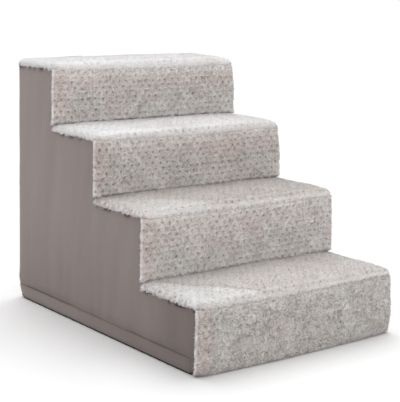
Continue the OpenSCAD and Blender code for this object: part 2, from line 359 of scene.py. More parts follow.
def spread(points):
    """Widens the stack at the floor and narrows it at the top, in proportion to the height. Then each
    corner of its foot is drawn in and up by a bell-shaped share of the distance to that corner."""
    share = np.clip(points[:, 2] / top_z[-1], 0, 1)
    moved = points.copy()
    moved[:, 0] *= SPREAD_FOOT + (SPREAD_TOP - SPREAD_FOOT) * share
    far_x = np.maximum(half_w - abs(points[:, 0]), 0) / FOOT_REACH
    far_y = np.maximum(back_y - abs(points[:, 1]), 0) / FOOT_REACH
    pull = np.where(points[:, 1] < 0, FOOT_CORNER_FRONT, FOOT_CORNER_BACK)
    pull = pull * np.exp(-far_x ** 2 - far_y ** 2 - (points[:, 2] / FOOT_REACH) ** 2)
    rise = np.full_like(share, FOOT_CORNER_UP)
    return moved + pull[:, None] * np.stack([-np.sign(points[:, 0]), -np.sign(points[:, 1]), rise], -1)


def link_piece(name, points, faces, material, slot, **values):
    """Makes the mesh (points in mm, faces as a list of index arrays), which rides on the stairs. Each
    further argument is a value per point that the material reads by that name. The zip's tapes aren't
    spread, because the CAD model's teeth stay where they are."""
    if slot != "zip_tape":
        points = spread(points)
    mesh = bpy.data.meshes.new(name)
    corners = np.concatenate([f.ravel() for f in faces])
    sizes = np.concatenate([np.full(len(f), f.shape[1]) for f in faces])
    mesh.vertices.add(len(points))
    mesh.vertices.foreach_set("co", (points * MM).astype(np.float32).ravel())
    mesh.loops.add(len(corners))
    mesh.loops.foreach_set("vertex_index", corners.astype(np.int32))
    mesh.polygons.add(len(sizes))
    mesh.polygons.foreach_set("loop_start", (np.cumsum(sizes) - sizes).astype(np.int32))
    mesh.update(calc_edges=True)
    mesh.polygons.foreach_set("use_smooth", np.ones(len(sizes), bool))
    for word, value in values.items():
        attribute = mesh.attributes.new(word, "FLOAT", "POINT")
        attribute.data.foreach_set("value", value.astype(np.float32))
    mesh.validate()
    mesh.materials.append(material)
    piece = add_object(name, mesh)
    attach(piece, "stairs")
    print(f"{name}: {len(points)} points, {int((sizes - 2).sum())} triangles")
    return piece


def grid_quads(rows, cols):
    """The four corners of each cell of a grid of points, in order round the cell."""
    index = np.arange(rows * cols).reshape(rows, cols)
    return np.stack([index[:-1, :-1], index[:-1, 1:], index[1:, 1:], index[1:, :-1]], -1)


# %% Sheets
def link_sheet(name, face, back, material, slot, keep=None, flip=False, **values):
    """One piece from the two grids of a sheet: quads of both sides, and a strip that closes the open
    edges. An edge is open where no neighbouring quad runs along it the other way. Points that no kept
    cell uses are left out. A value that is given for the face alone goes for the back too."""
    rows, cols = face.shape[:2]
    count = rows * cols
    quads = grid_quads(rows, cols)
    quads = quads.reshape(-1, 4) if keep is None else quads[keep]
    if flip:
        quads = quads[:, ::-1]
    start, end = quads.ravel(), np.roll(quads, -1, axis=1).ravel()
    is_open = ~np.isin(start * count + end, end * count + start)
    a, b = start[is_open], end[is_open]
    faces = [quads, quads[:, ::-1] + count, np.stack([b, a, a + count, b + count], -1)]

    used = np.zeros(2 * count, bool)
    used[np.concatenate([quads.ravel(), quads.ravel() + count])] = True
    number = np.cumsum(used) - 1
    points = np.concatenate([face.reshape(-1, 3), back.reshape(-1, 3)])[used]
    values = {word: np.resize(value, 2 * count)[used] for word, value in values.items()}
    return link_piece(name, points, [number[f] for f in faces], material, slot, **values)


def declare_sheet(piece, node, cut, rests_on, held="stretched", **more):
    """Hides the CAD node that the sheet stands for, and prints the size in mm that it is cut to."""
    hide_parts(node)
    print(f"{piece.name} is cut to {cut[0]:.0f} by {cut[1]:.0f} mm")


# %% [markdown]
# Cloth is never quite even. `soft_noise` gives smooth random hills: random heights on a lattice, joined
# by a curve that is level at both ends. Everything random has its own seed, so each run is the same.


# %% Noise
LATTICE = 64                 # the random heights repeat after so many cells
FAR_CELLS = 1000             # moves all places to the positive side


def blend(corners, p, q):
    """The mean of a cell's four corner values, weighted by the place p, q in it through 3t^2 - 2t^3."""
    p, q = p * p * (3 - 2 * p), q * q * (3 - 2 * q)
    low = corners[0] * (1 - p) + corners[1] * p
    high = corners[2] * (1 - p) + corners[3] * p
    return low * (1 - q) + high * q


def soft_noise(x, y, cell, seed):
    """Random heights from -1 to 1 on a square lattice, with smooth hills between."""
    table = np.random.default_rng(seed).uniform(-1, 1, (LATTICE, LATTICE))
    u, v = x / cell + FAR_CELLS, y / cell + FAR_CELLS
    i, j = np.floor(u).astype(int), np.floor(v).astype(int)
    p, q = u - i, v - j
    i, j, k, m = i % LATTICE, j % LATTICE, (i + 1) % LATTICE, (j + 1) % LATTICE
    return blend((table[i, j], table[k, j], table[i, m], table[k, m]), p, q)


def unit(vectors):
    """Vectors made one long."""
    return vectors / np.maximum(np.linalg.norm(vectors, axis=-1, keepdims=True), 1e-9)


def smooth_step(x, low, high):
    """0 below low, 1 above high, and 3t^2 - 2t^3 between."""
    t = np.clip((x - low) / (high - low), 0, 1)
    return t * t * (3 - 2 * t)


# %% [markdown]
# ## The plush
#
# The plush is embossed with small pits in staggered rows, about 15 mm apart along a row. They are
# pressed into the real surface here, because their shadows change with the light and the view. A pit's
# place and depth wander a little, the pile closes over some of them, and it stands up in a small rim
# above each. Between the pits the pile gathers in clumps of a few millimetres.

# %% Pits and clumps of the plush
PIT_PITCH_X, PIT_PITCH_Y = 14.6, 20.2    # along a row, and from one row to the next but one
PIT_HALF_X, PIT_HALF_Y = 2.1, 2.2
PIT_WANDER = 1.1                         # how far a pit may lie from its place
PIT_DEPTH = 2.6
PIT_STRENGTH, PIT_VARIES = 0.72, 0.28    # what share of the depth a pit has, more or less
RIM_ABOVE = 3.6                          # from the middle of a pit up to its rim
RIM_HALF_X, RIM_HALF_Y = 3.6, 1.7
RIM_HEIGHT, TUFT_HEIGHT = 0.7, 0.6
CLUMP, TUFT = 4.4, 2.2                   # how wide a clump of pile is, and a tuft in it
SLOW_CELL, SLOW_HEIGHT = 45, 0.9         # the slow unevenness of a whole panel
TABLE = (97, 89)                         # pits and clumps repeat after so many both ways


def pits(s, t, seed):
    """Bell-shaped pits on two square lattices, the second half a pitch off both ways, and the rims of
    pile above them. Both go from 0 to 1."""
    pit, rim = np.zeros(np.shape(s)), np.zeros(np.shape(s))
    for k, half in enumerate((0.0, 0.5)):
        u, v = s / PIT_PITCH_X - half, t / PIT_PITCH_Y - half
        i, j = np.round(u).astype(int), np.round(v).astype(int)
        table = np.random.default_rng(seed + k).uniform(-1, 1, (3, *TABLE))
        move_x, move_y, strength = table[:, i % TABLE[0], j % TABLE[1]]
        dx = (u - i) * PIT_PITCH_X - move_x * PIT_WANDER
        dy = (v - j) * PIT_PITCH_Y - move_y * PIT_WANDER
        strength = PIT_STRENGTH + PIT_VARIES * strength
        pit += strength * np.exp(-(dx / PIT_HALF_X) ** 2 - (dy / PIT_HALF_Y) ** 2)
        rim += strength * np.exp(-(dx / RIM_HALF_X) ** 2 - ((dy - RIM_ABOVE) / RIM_HALF_Y) ** 2)
    return np.clip(pit, 0, 1), np.clip(rim, 0, 1)


def clumps(s, t, cell, seed):
    """Cells round scattered points: the second nearest distance less the nearest one, so it is 0 in the
    furrow between two clumps and about 1 in the middle of one."""
    table = np.random.default_rng(seed).uniform(0.1, 0.9, (2, *TABLE))
    u, v = s / cell, t / cell
    i, j = np.floor(u).astype(int), np.floor(v).astype(int)
    near = np.full(np.shape(s), 9.0)
    second = near.copy()
    for a, b in ((a, b) for a in (-1, 0, 1) for b in (-1, 0, 1)):
        shift_x, shift_y = table[:, (i + a) % TABLE[0], (j + b) % TABLE[1]]
        d = (i + a + shift_x - u) ** 2 + (j + b + shift_y - v) ** 2
        second = np.minimum(second, np.maximum(near, d))
        near = np.minimum(near, d)
    return np.clip((np.sqrt(second) - np.sqrt(near)) * 2.0, 0, 1)


def wisps(s, t, cell, width, seed):
    """Short wandering strokes: where a soft noise crosses zero, kept only where a second one is high."""
    stroke = np.exp(-(soft_noise(s, t, cell, seed) / width) ** 2)
    return stroke * smooth_step(soft_noise(s, t, 1.4 * cell, seed + 1), -0.1, 0.5)


def plush_relief(s, t, seed, openness, ruffle):
    """Height of the pile over its mean surface: pits, rims, clumps, tufts and slow unevenness. An
    openness under 1 lets the pile close over the pits in patches. Ruffle is how strongly light strokes
    of pile and the furrows between them show. The tufts' value is their part of the shade, from -1 to 1."""
    pit, rim = pits(s, t, seed)
    shown = smooth_step(soft_noise(s, t, 30, seed + 4) + 2 * openness, 0.3, 1.3)
    pit, rim = pit * shown, rim * shown
    tufts = 1.2 * (clumps(s, t, CLUMP, seed + 5) - 0.45) + 0.5 * soft_noise(s, t, TUFT, seed + 6)
    light, furrow = wisps(s, t, 6.5, 0.34, seed + 8), wisps(s, t, 7.5, 0.24, seed + 10)
    tufts += ruffle * (1.1 * light - 1.5 * furrow * (1 - light))
    slow = SLOW_HEIGHT * soft_noise(s, t, SLOW_CELL, seed + 7)
    return -PIT_DEPTH * pit + TUFT_HEIGHT * tufts * (1 - pit) + RIM_HEIGHT * rim + slow, pit, rim, tufts


# %% [markdown]
# A tread's plush is one panel that lies on the soft pad and folds down over the edges to a seam. Its
# flat pattern is a rectangle. The part outside an inner rectangle goes down over the edge: the further
# out a point lies, the further it has gone round the curve. At a corner the same rule, measured
# from the inner rectangle's corner, makes the rounded corner without a separate piece.

# %% Folded panels
GRID = 1.5                   # spacing of the plush's points
EDGE_OUT, EDGE_DOWN = 13.0, 11.0
BACKING = 4.6                # how far the backing lies below the plush's mean surface


def edge_length(out, down):
    """Length of a quarter of an ellipse, from the mean square of its half axes."""
    return math.pi / 2 * math.sqrt((out ** 2 + down ** 2) / 2)


def round_edge(d, out, down):
    """Path over an edge, d from where it starts to turn: a quarter of an ellipse, then straight down.
    Gives the distance out, the distance down, and the angle turned."""
    length = edge_length(out, down)
    angle = np.clip(d / length, 0, 1) * math.pi / 2
    return out * np.sin(angle), down * (1 - np.cos(angle)) + np.maximum(d - length, 0), angle


def cap_grid(i, spacing):
    """The panel of tread i, which folds down over its edges: flat coordinates, points, normals, the way
    out over the edge, the distance fallen, and what is left of the panel below. Inside the inner
    rectangle a point stays level. Outside, the larger of its two overhangs is the way round the edge.
    Only the top tread folds down at its back too."""
    lo, hi = tread_box[i]
    length = edge_length(EDGE_OUT, EDGE_DOWN) + (hi[2] - lo[2]) - EDGE_DOWN
    last = i == 3
    x_in = np.array([lo[0] + EDGE_OUT, hi[0] - EDGE_OUT])
    y_in = np.array([lo[1] + EDGE_OUT, hi[1] - (EDGE_OUT if last else 0)])
    y_end = y_in[1] + (length if last else 0)
    cols = int(round((x_in[1] - x_in[0] + 2 * length) / spacing)) + 1
    rows = int(round((y_end - y_in[0] + length) / spacing)) + 1
    s, t = np.meshgrid(
        np.linspace(x_in[0] - length, x_in[1] + length, cols), np.linspace(y_in[0] - length, y_end, rows))
    over_x = s - np.clip(s, *x_in)
    over_y = t - np.clip(t, *y_in)
    way = unit(np.stack([over_x, over_y, np.zeros_like(s)], -1))
    d = np.maximum(abs(over_x), abs(over_y))
    reach, fall, angle = round_edge(d, EDGE_OUT, EDGE_DOWN)
    base = np.stack([np.clip(s, *x_in), np.clip(t, *y_in), np.full(s.shape, hi[2])], -1)
    points = base + way * reach[..., None] - np.array([0, 0, 1]) * fall[..., None]
    normal = way * np.sin(angle)[..., None] + np.array([0, 0, 1]) * np.cos(angle)[..., None]
    return s, t, points, normal, way, fall, length - d


# %% [markdown]
# A sewn and stuffed cover is never as straight as its pattern. The seam under a tread's front edge hangs
# lowest in its middle, and a step's right front corner is softer and lower than its left one. The
# same shift is given to each panel that meets there, so their edges stay together.

# %% Soft corners
SEAM_SAG = 5.0
CORNER_SAG, CORNER_DRAW = [1.2, 2.0, 3.0, 3.0], [0.8, 0.5, 3.0, 3.0]    # at each step's free corner
CORNER_REACH_X, CORNER_REACH_Y = 30, 36
END_SAG, END_REACH = [2.2, 1.2, 1.2, 1.2], 60    # along each step's right end
FLOOR_LIFT, FLOOR_WAVE = 1.9, 1.2             # the lowest riser's foot: its ends stand up, and it is wavy
FLOOR_TUCK, FLOOR_SWELL = 2.4, 6.0            # it turns in, and its middle swells forward


def seam_sag(x):
    """How much lower the seam hangs across a step: a parabola, with a little chance."""
    return SEAM_SAG * np.clip(1 - (x / half_w) ** 2, 0, 1) * (0.85 + 0.15 * soft_noise(x, 0 * x, 60, 33))


def settle(points, i, weight):
    """Lowers and draws in the right end of step i, most at its front corner."""
    lo, hi = tread_box[i]
    x, y = points[..., 0].copy(), points[..., 1].copy()
    corner = np.exp(-((hi[0] - x) / CORNER_REACH_X) ** 2 - ((y - lo[1]) / CORNER_REACH_Y) ** 2)
    end = END_SAG[i] * smooth_step(x, hi[0] - END_REACH, hi[0])
    points[..., 2] -= weight * (end + CORNER_SAG[i] * corner)
    points[..., 0] -= weight * CORNER_DRAW[i] * corner
    points[..., 1] += weight * 0.7 * CORNER_DRAW[i] * corner


# %% [markdown]
# A cover is cut a little wider than the foam, so between its seams the cloth crowns, and it dips where it
# likes. Noise can't find that form, but Blender's cloth simulation can. A coarse copy of each panel is
# held fully at its seams and weakly by the foam's grip, a light pressure stands for the squeezed foam, and
# a second shape key holds the size that the cloth was cut to. Only the distance that each point moves
# outwards is kept, with a cap, and the fine panel is lifted by it.

# %% Settling cloth
SIM_SPACING, SIM_FRAMES = 12.0, 20
CUT_WIDER, CUT_TALLER = 1.012, 1.002    # the cloth is cut 1.2% wider than the foam, and 0.2% taller
FOAM_GRIP = 0.1
UNEVEN, UNEVEN_CELLS = 0.4, 3.3         # how far and how finely the hung cloth is out of true
LEAST_LIFT, MOST_LIFT = -0.8, 3.0
CLOTH_SETTINGS = {
    "quality": 5, "mass": 0.05, "tension_stiffness": 20, "compression_stiffness": 20,
    "shear_stiffness": 8, "bending_stiffness": 5, "air_damping": 2, "vertex_group_mass": "grip",
    "use_pressure": True, "uniform_pressure_force": 0.2}


# %% Settling one panel
def settle_cloth(name, points, outward, at_seam, wider, seed, keep=None):
    """Distance in mm that each point of a coarse grid moves outwards, once the cloth has settled. The
    cut size is the hung one times `wider`, axis by axis."""
    rows, cols = points.shape[:2]
    quads = grid_quads(rows, cols)
    quads = quads.reshape(-1, 4) if keep is None else quads[keep]
    across = np.cross(points[0, 1] - points[0, 0], points[1, 0] - points[0, 0])
    if np.dot(across, outward[0, 0]) < 0:
        quads = quads[..., ::-1]
    uneven = soft_noise(*np.meshgrid(np.arange(cols), np.arange(rows)), UNEVEN_CELLS, seed)
    start = points + outward * UNEVEN * uneven[..., None]
    mesh = bpy.data.meshes.new(name)
    mesh.from_pydata((start.reshape(-1, 3) * MM).tolist(), [], quads.tolist())
    coarse = add_object(name, mesh)
    coarse.shape_key_add(name="hung")
    cut = coarse.shape_key_add(name="cut")
    cut.data.foreach_set("co", (start * wider * MM).astype(np.float32).ravel())
    grip = coarse.vertex_groups.new(name="grip")
    grip.add(np.flatnonzero(at_seam).tolist(), 1.0, "REPLACE")
    grip.add(np.flatnonzero(~at_seam).tolist(), FOAM_GRIP, "REPLACE")
    cloth = coarse.modifiers.new("cloth", "CLOTH")
    for word, value in CLOTH_SETTINGS.items():
        setattr(cloth.settings, word, value)
    cloth.settings.rest_shape_key = cut
    cloth.settings.effector_weights.gravity = 0
    cloth.point_cache.frame_start, cloth.point_cache.frame_end = 1, SIM_FRAMES
    first = bpy.context.scene.frame_current
    for step in range(1, SIM_FRAMES + 1):
        bpy.context.scene.frame_set(step)
    settled = np.zeros(rows * cols * 3, np.float32)
    coarse.evaluated_get(bpy.context.evaluated_depsgraph_get()).data.vertices.foreach_get("co", settled)
    bpy.data.objects.remove(coarse)
    bpy.data.meshes.remove(mesh)
    bpy.context.scene.frame_set(first)
    moved = np.sum((settled.reshape(rows, cols, 3) / MM - points) * outward, -1)
    print(f"{name} settled: moved {moved.min():.1f} to {moved.max():.1f} mm")
    return np.clip(np.nan_to_num(moved), LEAST_LIFT, MOST_LIFT)


def read_grid(values, u_lines, v_lines, u, v):
    """A grid's value at any place: the weighted mean of the four grid points round it."""
    i = np.clip(np.searchsorted(u_lines, u) - 1, 0, len(u_lines) - 2)
    j = np.clip(np.searchsorted(v_lines, v) - 1, 0, len(v_lines) - 2)
    p = np.clip((u - u_lines[i]) / (u_lines[i + 1] - u_lines[i]), 0, 1)
    q = np.clip((v - v_lines[j]) / (v_lines[j + 1] - v_lines[j]), 0, 1)
    return blend((values[j, i], values[j, i + 1], values[j + 1, i], values[j + 1, i + 1]), p, q)


# %% [markdown]
# The first tread's pile is combed flat and white in a wedge that narrows from the left end to the
# middle of the front edge, with a soft crease along its border, which is also painted darker as shade.
# The rest lies greyer, and shows its pits.

# %% Tread panels
# The same plush is drawn lighter on the treads than on the risers, and lightest on the top treads, as
# painted light. The upper risers are raised as painted light against the shade of the tread over them.
TREAD_SHADE = [0.61, 0.52, 0.86, 0.91]    # how light each tread's pile is drawn: how it lies, and painted light
RISER_SHADE = [0.46, 0.56, 0.52, 0.53]    # and on the upright panels
COMBED_LIGHTER = 0.17
COMBED_DEEP, COMBED_NARROWS = 0.97, 2.9
COMBED_SHOWS = [1.0, 0.2, 0.3, 0.0]       # how sharp the wedge's border is
TREAD_OPEN = [0.75, 0.7, 0.6, 0.4]        # how open the pits are
RISER_OPEN = [0.25, 1.0, 0.9, 0.85]
TREAD_RUFFLE, RISER_RUFFLE = 0.3, [1.0, 0.9, 0.9, 0.85]
SEAM_SHOWS = [1.0, 0.12, 0.12, 0.12]      # how clearly the seam shows on the right half of each front
SIDE_SEAM_SHOWS = 0.4                     # and along the sides
BACK_PAINTED_SHADE = [0.0, 0.08, 0.10, 0.10]     # painted shade on each tread's strip in front of the next riser
FOOT_SHOWS = [0.0, 0.6, 1.0, 1.0]         # how deep the dashes along each riser's foot are, and how dark in painted shade
TOP_PAINTED_LIGHT, TOP_REACH = [0.12, 0.12, 0.14, 0.20], 24.0    # painted light under each tread's edge
SIDE_PAINTED_LIGHT = [0.14, 0.22, 0.22, 0.22]   # painted light on the fringe along the sides
TREAD_PIT_SHADE, RISER_PIT_SHADE = 0.34, 0.42         # painted shade: how much darker a pit is drawn than the pile round it
TREAD_RIM_LIGHT, RISER_RIM_LIGHT = 0.07, 0.17         # painted light: how much lighter its rim is drawn
TREAD_TUFT, EDGE_TUFT, RISER_TUFT = 0.07, 0.04, 0.12    # painted light on clumps and wisps, painted shade in the furrows, with some random tone
PINCH, LIP = 2.0, 0.9                     # a seam's depth, and the fold that stands up over it, which is painted lighter
BACK_FOLLOWS = 0.5                        # share of the relief's hollows that shows on the backing too


def combed_border(i, s, t):
    """Above 0 inside the combed wedge of tread i, as a share of its depth."""
    lo, hi = tread_box[i]
    across = (s - lo[0]) / (hi[0] - lo[0])
    along = (t - lo[1]) / (hi[1] - lo[1])
    wander = 0.07 * soft_noise(s, 0 * s, 50, 61 + i) + 0.04 * soft_noise(s, t, 22, 65 + i)
    return COMBED_DEEP - COMBED_NARROWS * across - along + wander


def seam_shown(i, s):
    """0 to 1: how deep the seam under tread i draws in, faint on the left and clearer on the right."""
    right = smooth_step(s, 0, 0.35 * half_w)
    return (0.08 + SEAM_SHOWS[i] * 0.9 * right) * (0.75 + 0.25 * soft_noise(s, 0 * s, 34, 51 + i))


# %% One tread panel
def tread_crown(i, s, t):
    """How far the cloth of tread i lifts as it settles over its pad, at the flat places s, t."""
    u, v, points, normal, way, fall, gap = cap_grid(i, SIM_SPACING)
    at_seam = (gap < 1) | (v > v.max() - 1)
    moved = settle_cloth(
        f"tread_cloth_{i + 1}", points, normal, at_seam, [CUT_WIDER, CUT_WIDER, 1], 500 + i)
    return read_grid(moved, u[0], v[:, 0], s, t)


def both_sides(base, normal, relief):
    """The plush's face, and its backing, which follows only the deeper hollows."""
    back = np.minimum(relief, 0) * BACK_FOLLOWS - BACKING
    return base + normal * relief[..., None], base + normal * back[..., None]


def tread_panel(i):
    """The plush panel of tread i: the folded grid, lifted along its normals by the pile's relief."""
    lo, hi = tread_box[i]
    drop = hi[2] - lo[2]
    s, t, base, normal, way, fall, gap = cap_grid(i, GRID)
    crown = tread_crown(i, s, t)
    relief, pit, rim, tufts = plush_relief(s, t, 100 + 20 * i, TREAD_OPEN[i], TREAD_RUFFLE)
    border = combed_border(i, s, t)
    crease = 0.9 * np.exp(-((border - 0.05) / 0.05) ** 2) - 1.1 * np.exp(-((border + 0.04) / 0.04) ** 2)
    crease = COMBED_SHOWS[i] * crease * smooth_step(fall, 3, 0)
    front, beside = way[..., 1] < -0.7, abs(way[..., 0]) > 0.7
    shown = np.where(front, seam_shown(i, s), SIDE_SEAM_SHOWS)
    pinch = smooth_step(gap, 5, 0) * shown
    lip = np.exp(-((gap - 5.5) / 1.8) ** 2) * shown * front
    relief = (relief + crease) * smooth_step(gap, 0, 4) - PINCH * pinch + LIP * lip + crown
    face, back = both_sides(base, normal, relief)

    run = np.where(beside, t, s)
    ragged = soft_noise(run, 0 * run, 5.5, 55 + i)
    rag = 1.5 * ragged + 1.0 * soft_noise(run, 0 * run, 2.6, 56 + i)
    hang = (rag - 0.6) * smooth_step(gap, 7, 0) * ~front
    sag = seam_sag(s) * front * np.clip(fall / drop, 0, 1)
    for points in (face, back):
        points[..., 2] -= sag + hang
        settle(points, i, 1.0)
    face[..., 0] += np.sign(way[..., 0]) * 0.5 * np.maximum(hang, 0) * beside

    across = (s - lo[0]) / (hi[0] - lo[0])
    along = (t - lo[1]) / (hi[1] - lo[1])
    soft = 0.3 - 0.2 * COMBED_SHOWS[i]
    shade = TREAD_SHADE[i] + COMBED_LIGHTER * smooth_step(border, -soft, soft)
    # Painted shade along the crease at the wedge's border.
    shade -= 0.09 * COMBED_SHOWS[i] * np.exp(-((border + 0.06) / 0.06) ** 2) * smooth_step(across, 0.05, 0.2)
    # Painted shade on the strip in front of the next riser, in the corner.
    shade -= BACK_PAINTED_SHADE[i] * smooth_step(along, 0.84, 0.98) * smooth_step(across, 0.02, 0.12)
    # Painted shade by facing: where the tread turns down to face the front it takes the riser's darker
    # shade, with painted light near its top edge.
    turned = smooth_step(-normal[..., 1], 0.3, 0.95) * smooth_step(fall, 0, 8)
    low = TOP_PAINTED_LIGHT[i] + 0.06 * smooth_step(fall, drop, 6)
    shade += (RISER_SHADE[i] + low - shade) * turned
    # Painted light on the fringe that faces sideways, painted shadow in the gaps between its clumps, and a
    # painted highlight on the seam's lip.
    sideways = smooth_step(abs(normal[..., 0]), 0.4, 0.95) * ~front
    fringe_shadow = smooth_step(ragged + 0.5 * soft_noise(run, fall, 2.6, 57 + i), 0.0, 0.6)
    shade += (SIDE_PAINTED_LIGHT[i] - 0.30 * fringe_shadow) * sideways + 0.10 * lip
    # Random tone, then painted light on clumps, wisps and rims and painted shade in the furrows.
    shade += (
        0.04 * soft_noise(s, t, 22, 62 + i) + (TREAD_TUFT + EDGE_TUFT * turned) * tufts + TREAD_RIM_LIGHT * rim)
    warmth = 0.3 + 0.6 * turned * smooth_step(across, 0.12, 0)
    warmth = warmth - 0.3 * COMBED_SHOWS[i] * smooth_step(border, 0, 0.2) + 0.5 * sideways
    # Painted shade in the pits.
    return s, t, face, back, normal, np.clip(shade - TREAD_PIT_SHADE * pit, 0, 1), warmth, gap


# %% [markdown]
# A riser's plush is a flat panel whose two upright edges turn round the foam's corners to the seam with
# the side cloth. Its foot is sewn down to the tread below, where the pile closes over the seam here and
# there, so that a row of short dark dashes is left: hollows that are painted darker too, as shade. Its top
# is sewn to the tread above.

# %% Riser panels
CORNER_OUT = 7.0
RISER_SWELL = 1.2
FOOT_DEPTH, FOOT_FOLD = 2.6, 0.8          # the dashes at a riser's foot, and the fold over them
LEFT_WARM = 0.7                           # the pile is warmer beside the left seam


def riser_grid(i, spacing):
    """A wall panel in x and z that turns a quarter round at both sides, towards the back."""
    lo, hi = riser_box[i]
    wrap = max(hi[1] - lo[1] - CORNER_OUT, 0)
    length = math.pi / 2 * CORNER_OUT + wrap
    x_in = np.array([lo[0] + CORNER_OUT, hi[0] - CORNER_OUT])
    cols = int(round((x_in[1] - x_in[0] + 2 * length) / spacing)) + 1
    rows = int(round((hi[2] - lo[2]) / spacing)) + 1
    s, t = np.meshgrid(
        np.linspace(x_in[0] - length, x_in[1] + length, cols), np.linspace(lo[2], hi[2], rows))
    over = s - np.clip(s, *x_in)
    reach, fall, angle = round_edge(abs(over), CORNER_OUT, plush_t)
    points = np.stack([np.clip(s, *x_in) + np.sign(over) * reach, lo[1] + fall, t], -1)
    normal = np.stack([np.sign(over) * np.sin(angle), -np.cos(angle), np.zeros_like(s)], -1)
    return s, t, points, normal, length - abs(over)


# %% One riser panel
def lift_foot(points, s, foot_gap):
    """The foot of the lowest riser, which stands on the floor: it lifts at its ends, waves a little, turns
    in, and swells forward in its middle."""
    hi = riser_box[0][1]
    middle = np.clip(1 - (s / half_w) ** 2, 0, 1)
    lift = FLOOR_LIFT * (1 - middle + 0.3 * np.exp(-((hi[0] - s) / 24) ** 2))
    lift = np.maximum(lift + FLOOR_WAVE * soft_noise(s, 0 * s, 13, 92), 0)
    points[..., 2] += lift * smooth_step(foot_gap, 24, 0)
    points[..., 1] += FLOOR_TUCK * smooth_step(foot_gap, 10, 0)
    points[..., 1] -= FLOOR_SWELL * middle * smooth_step(foot_gap, 60, 4)


def riser_panel(i):
    """The plush panel of riser i, with its relief, its creases at foot and seam, and a slow swell."""
    lo, hi = riser_box[i]
    s, t, base, normal, side_gap = riser_grid(i, GRID)
    relief, pit, rim, tufts = plush_relief(s, t, 200 + 20 * i, RISER_OPEN[i], RISER_RUFFLE[i])
    foot_gap, seam_gap, left_gap = t - lo[2], hi[2] - t, s - s.min()
    height = foot_gap / (hi[2] - lo[2])
    dash = smooth_step(soft_noise(s, 0 * t, 5.5, 71 + i), -0.15, 0.15)
    foot = smooth_step(foot_gap, 4.5, 0.5) * dash * FOOT_SHOWS[i]
    seam = smooth_step(seam_gap, 5, 0) * seam_shown(i, s)
    inside = smooth_step(np.minimum(np.minimum(foot_gap, seam_gap), side_gap), 0, 4)
    swell = RISER_SWELL * np.sin(np.pi * np.clip(height, 0, 1))
    relief = relief * inside + swell * smooth_step(side_gap, 0, 30) - PINCH * seam
    relief += (FOOT_FOLD * smooth_step(foot_gap, 8, 3) - FOOT_DEPTH * foot) if i else 0
    face, back = both_sides(base, normal, relief)
    back[..., 1] = np.minimum(back[..., 1], hi[1])
    side_fray = 0.5 * soft_noise(0 * s, t, 5, 77 + i) + 0.4 * soft_noise(0 * s, t, 2.4, 78 + i)
    face[..., 0] += np.sign(s) * side_fray * smooth_step(side_gap, 5, 1)
    for points in (face, back):
        points[..., 2] -= seam_sag(s) * height ** 2
        settle(points, i, smooth_step(seam_gap, 60, 0))
        if i == 0:
            lift_foot(points, s, foot_gap)

    shade = RISER_SHADE[i] + 0.05 * soft_noise(s, t, 24, 74 + i) + 0.05 * soft_noise(s, t, 8, 75 + i)
    # Painted light on clumps, wisps and rims, and painted shade in the furrows and pits.
    shade += RISER_TUFT * tufts - RISER_PIT_SHADE * pit + RISER_RIM_LIGHT * rim
    # Painted light on the edges that turn round to the sides.
    shade += (0.44 + 0.12 * soft_noise(0 * s, t, 5, 76 + i)) * smooth_step(side_gap, 7, 2.5)
    # Painted light on the riser's top, under the tread's edge.
    shade += TOP_PAINTED_LIGHT[i] * smooth_step(seam_gap, TOP_REACH, 0)
    # On the upper risers, painted light near the foot against the tread's shade, and painted shade in the
    # dashes.
    if i:
        shade += 0.10 * smooth_step(foot_gap, 45, 6) - 0.30 * foot
    shade -= 0.06 * smooth_step(left_gap, 60, 25)
    patches = soft_noise(s + t, t - 0.3 * s, 48, 79 + i)
    warmth = LEFT_WARM * smooth_step(left_gap, 40, 14) + (0.33 if i else 0.25) * patches
    warmth += 0.15 + (0.45 * smooth_step(height, 0.3, 0.8) if i else -0.1)
    return s, t, face, back, normal, np.clip(shade, 0, 1), np.clip(warmth, 0, 1), foot_gap


# %% [markdown]
# ## Pile
#
# The tips of the pile stand up from the surface, lean the way they were combed, and hang over the
# edges in uneven tufts. Each tuft is a slim pointed solid of four triangles, so thousands of
# them stay light. Its root is buried in the plush, and its direction is the surface's own
# normal plus the comb direction plus some chance. At the sides the cut edge of the plush has a fringe of
# longer tufts, gathered in clumps.

# %% Pile
PILE_DENSITY = 0.62
PILE_LENGTH = {"tread": (1.0, 2.0), "riser": (1.4, 3.0)}    # the treads are combed flat
PILE_WIDTH = {"tread": (0.8, 1.6), "riser": (1.0, 2.0)}
PILE_VARIES = {"tread": 0.07, "riser": 0.12}
PILE_COMB = {"tread": [-0.15, -0.45, 0.0], "riser": [-0.1, 0.0, -0.45]}
ROOT_DEPTH, LOWEST = 0.5, 0.3    # how deep a tuft's root lies, and its lowest point over the floor
FRINGE_DENSITY = 1.5
FRINGE_CLUMP = 6.0
FRINGE_SHORT, FRINGE_WIDTH = 1.2, (1.0, 1.9)
FRINGE_LONG = {"tread": [4.6, 2.6, 2.6, 2.6], "riser": [4.6, 4.6, 4.6, 4.6]}
FRINGE_HANG = {"tread": (0.5, -0.9), "riser": (0.6, -0.4)}  # how far it points outwards, and downwards


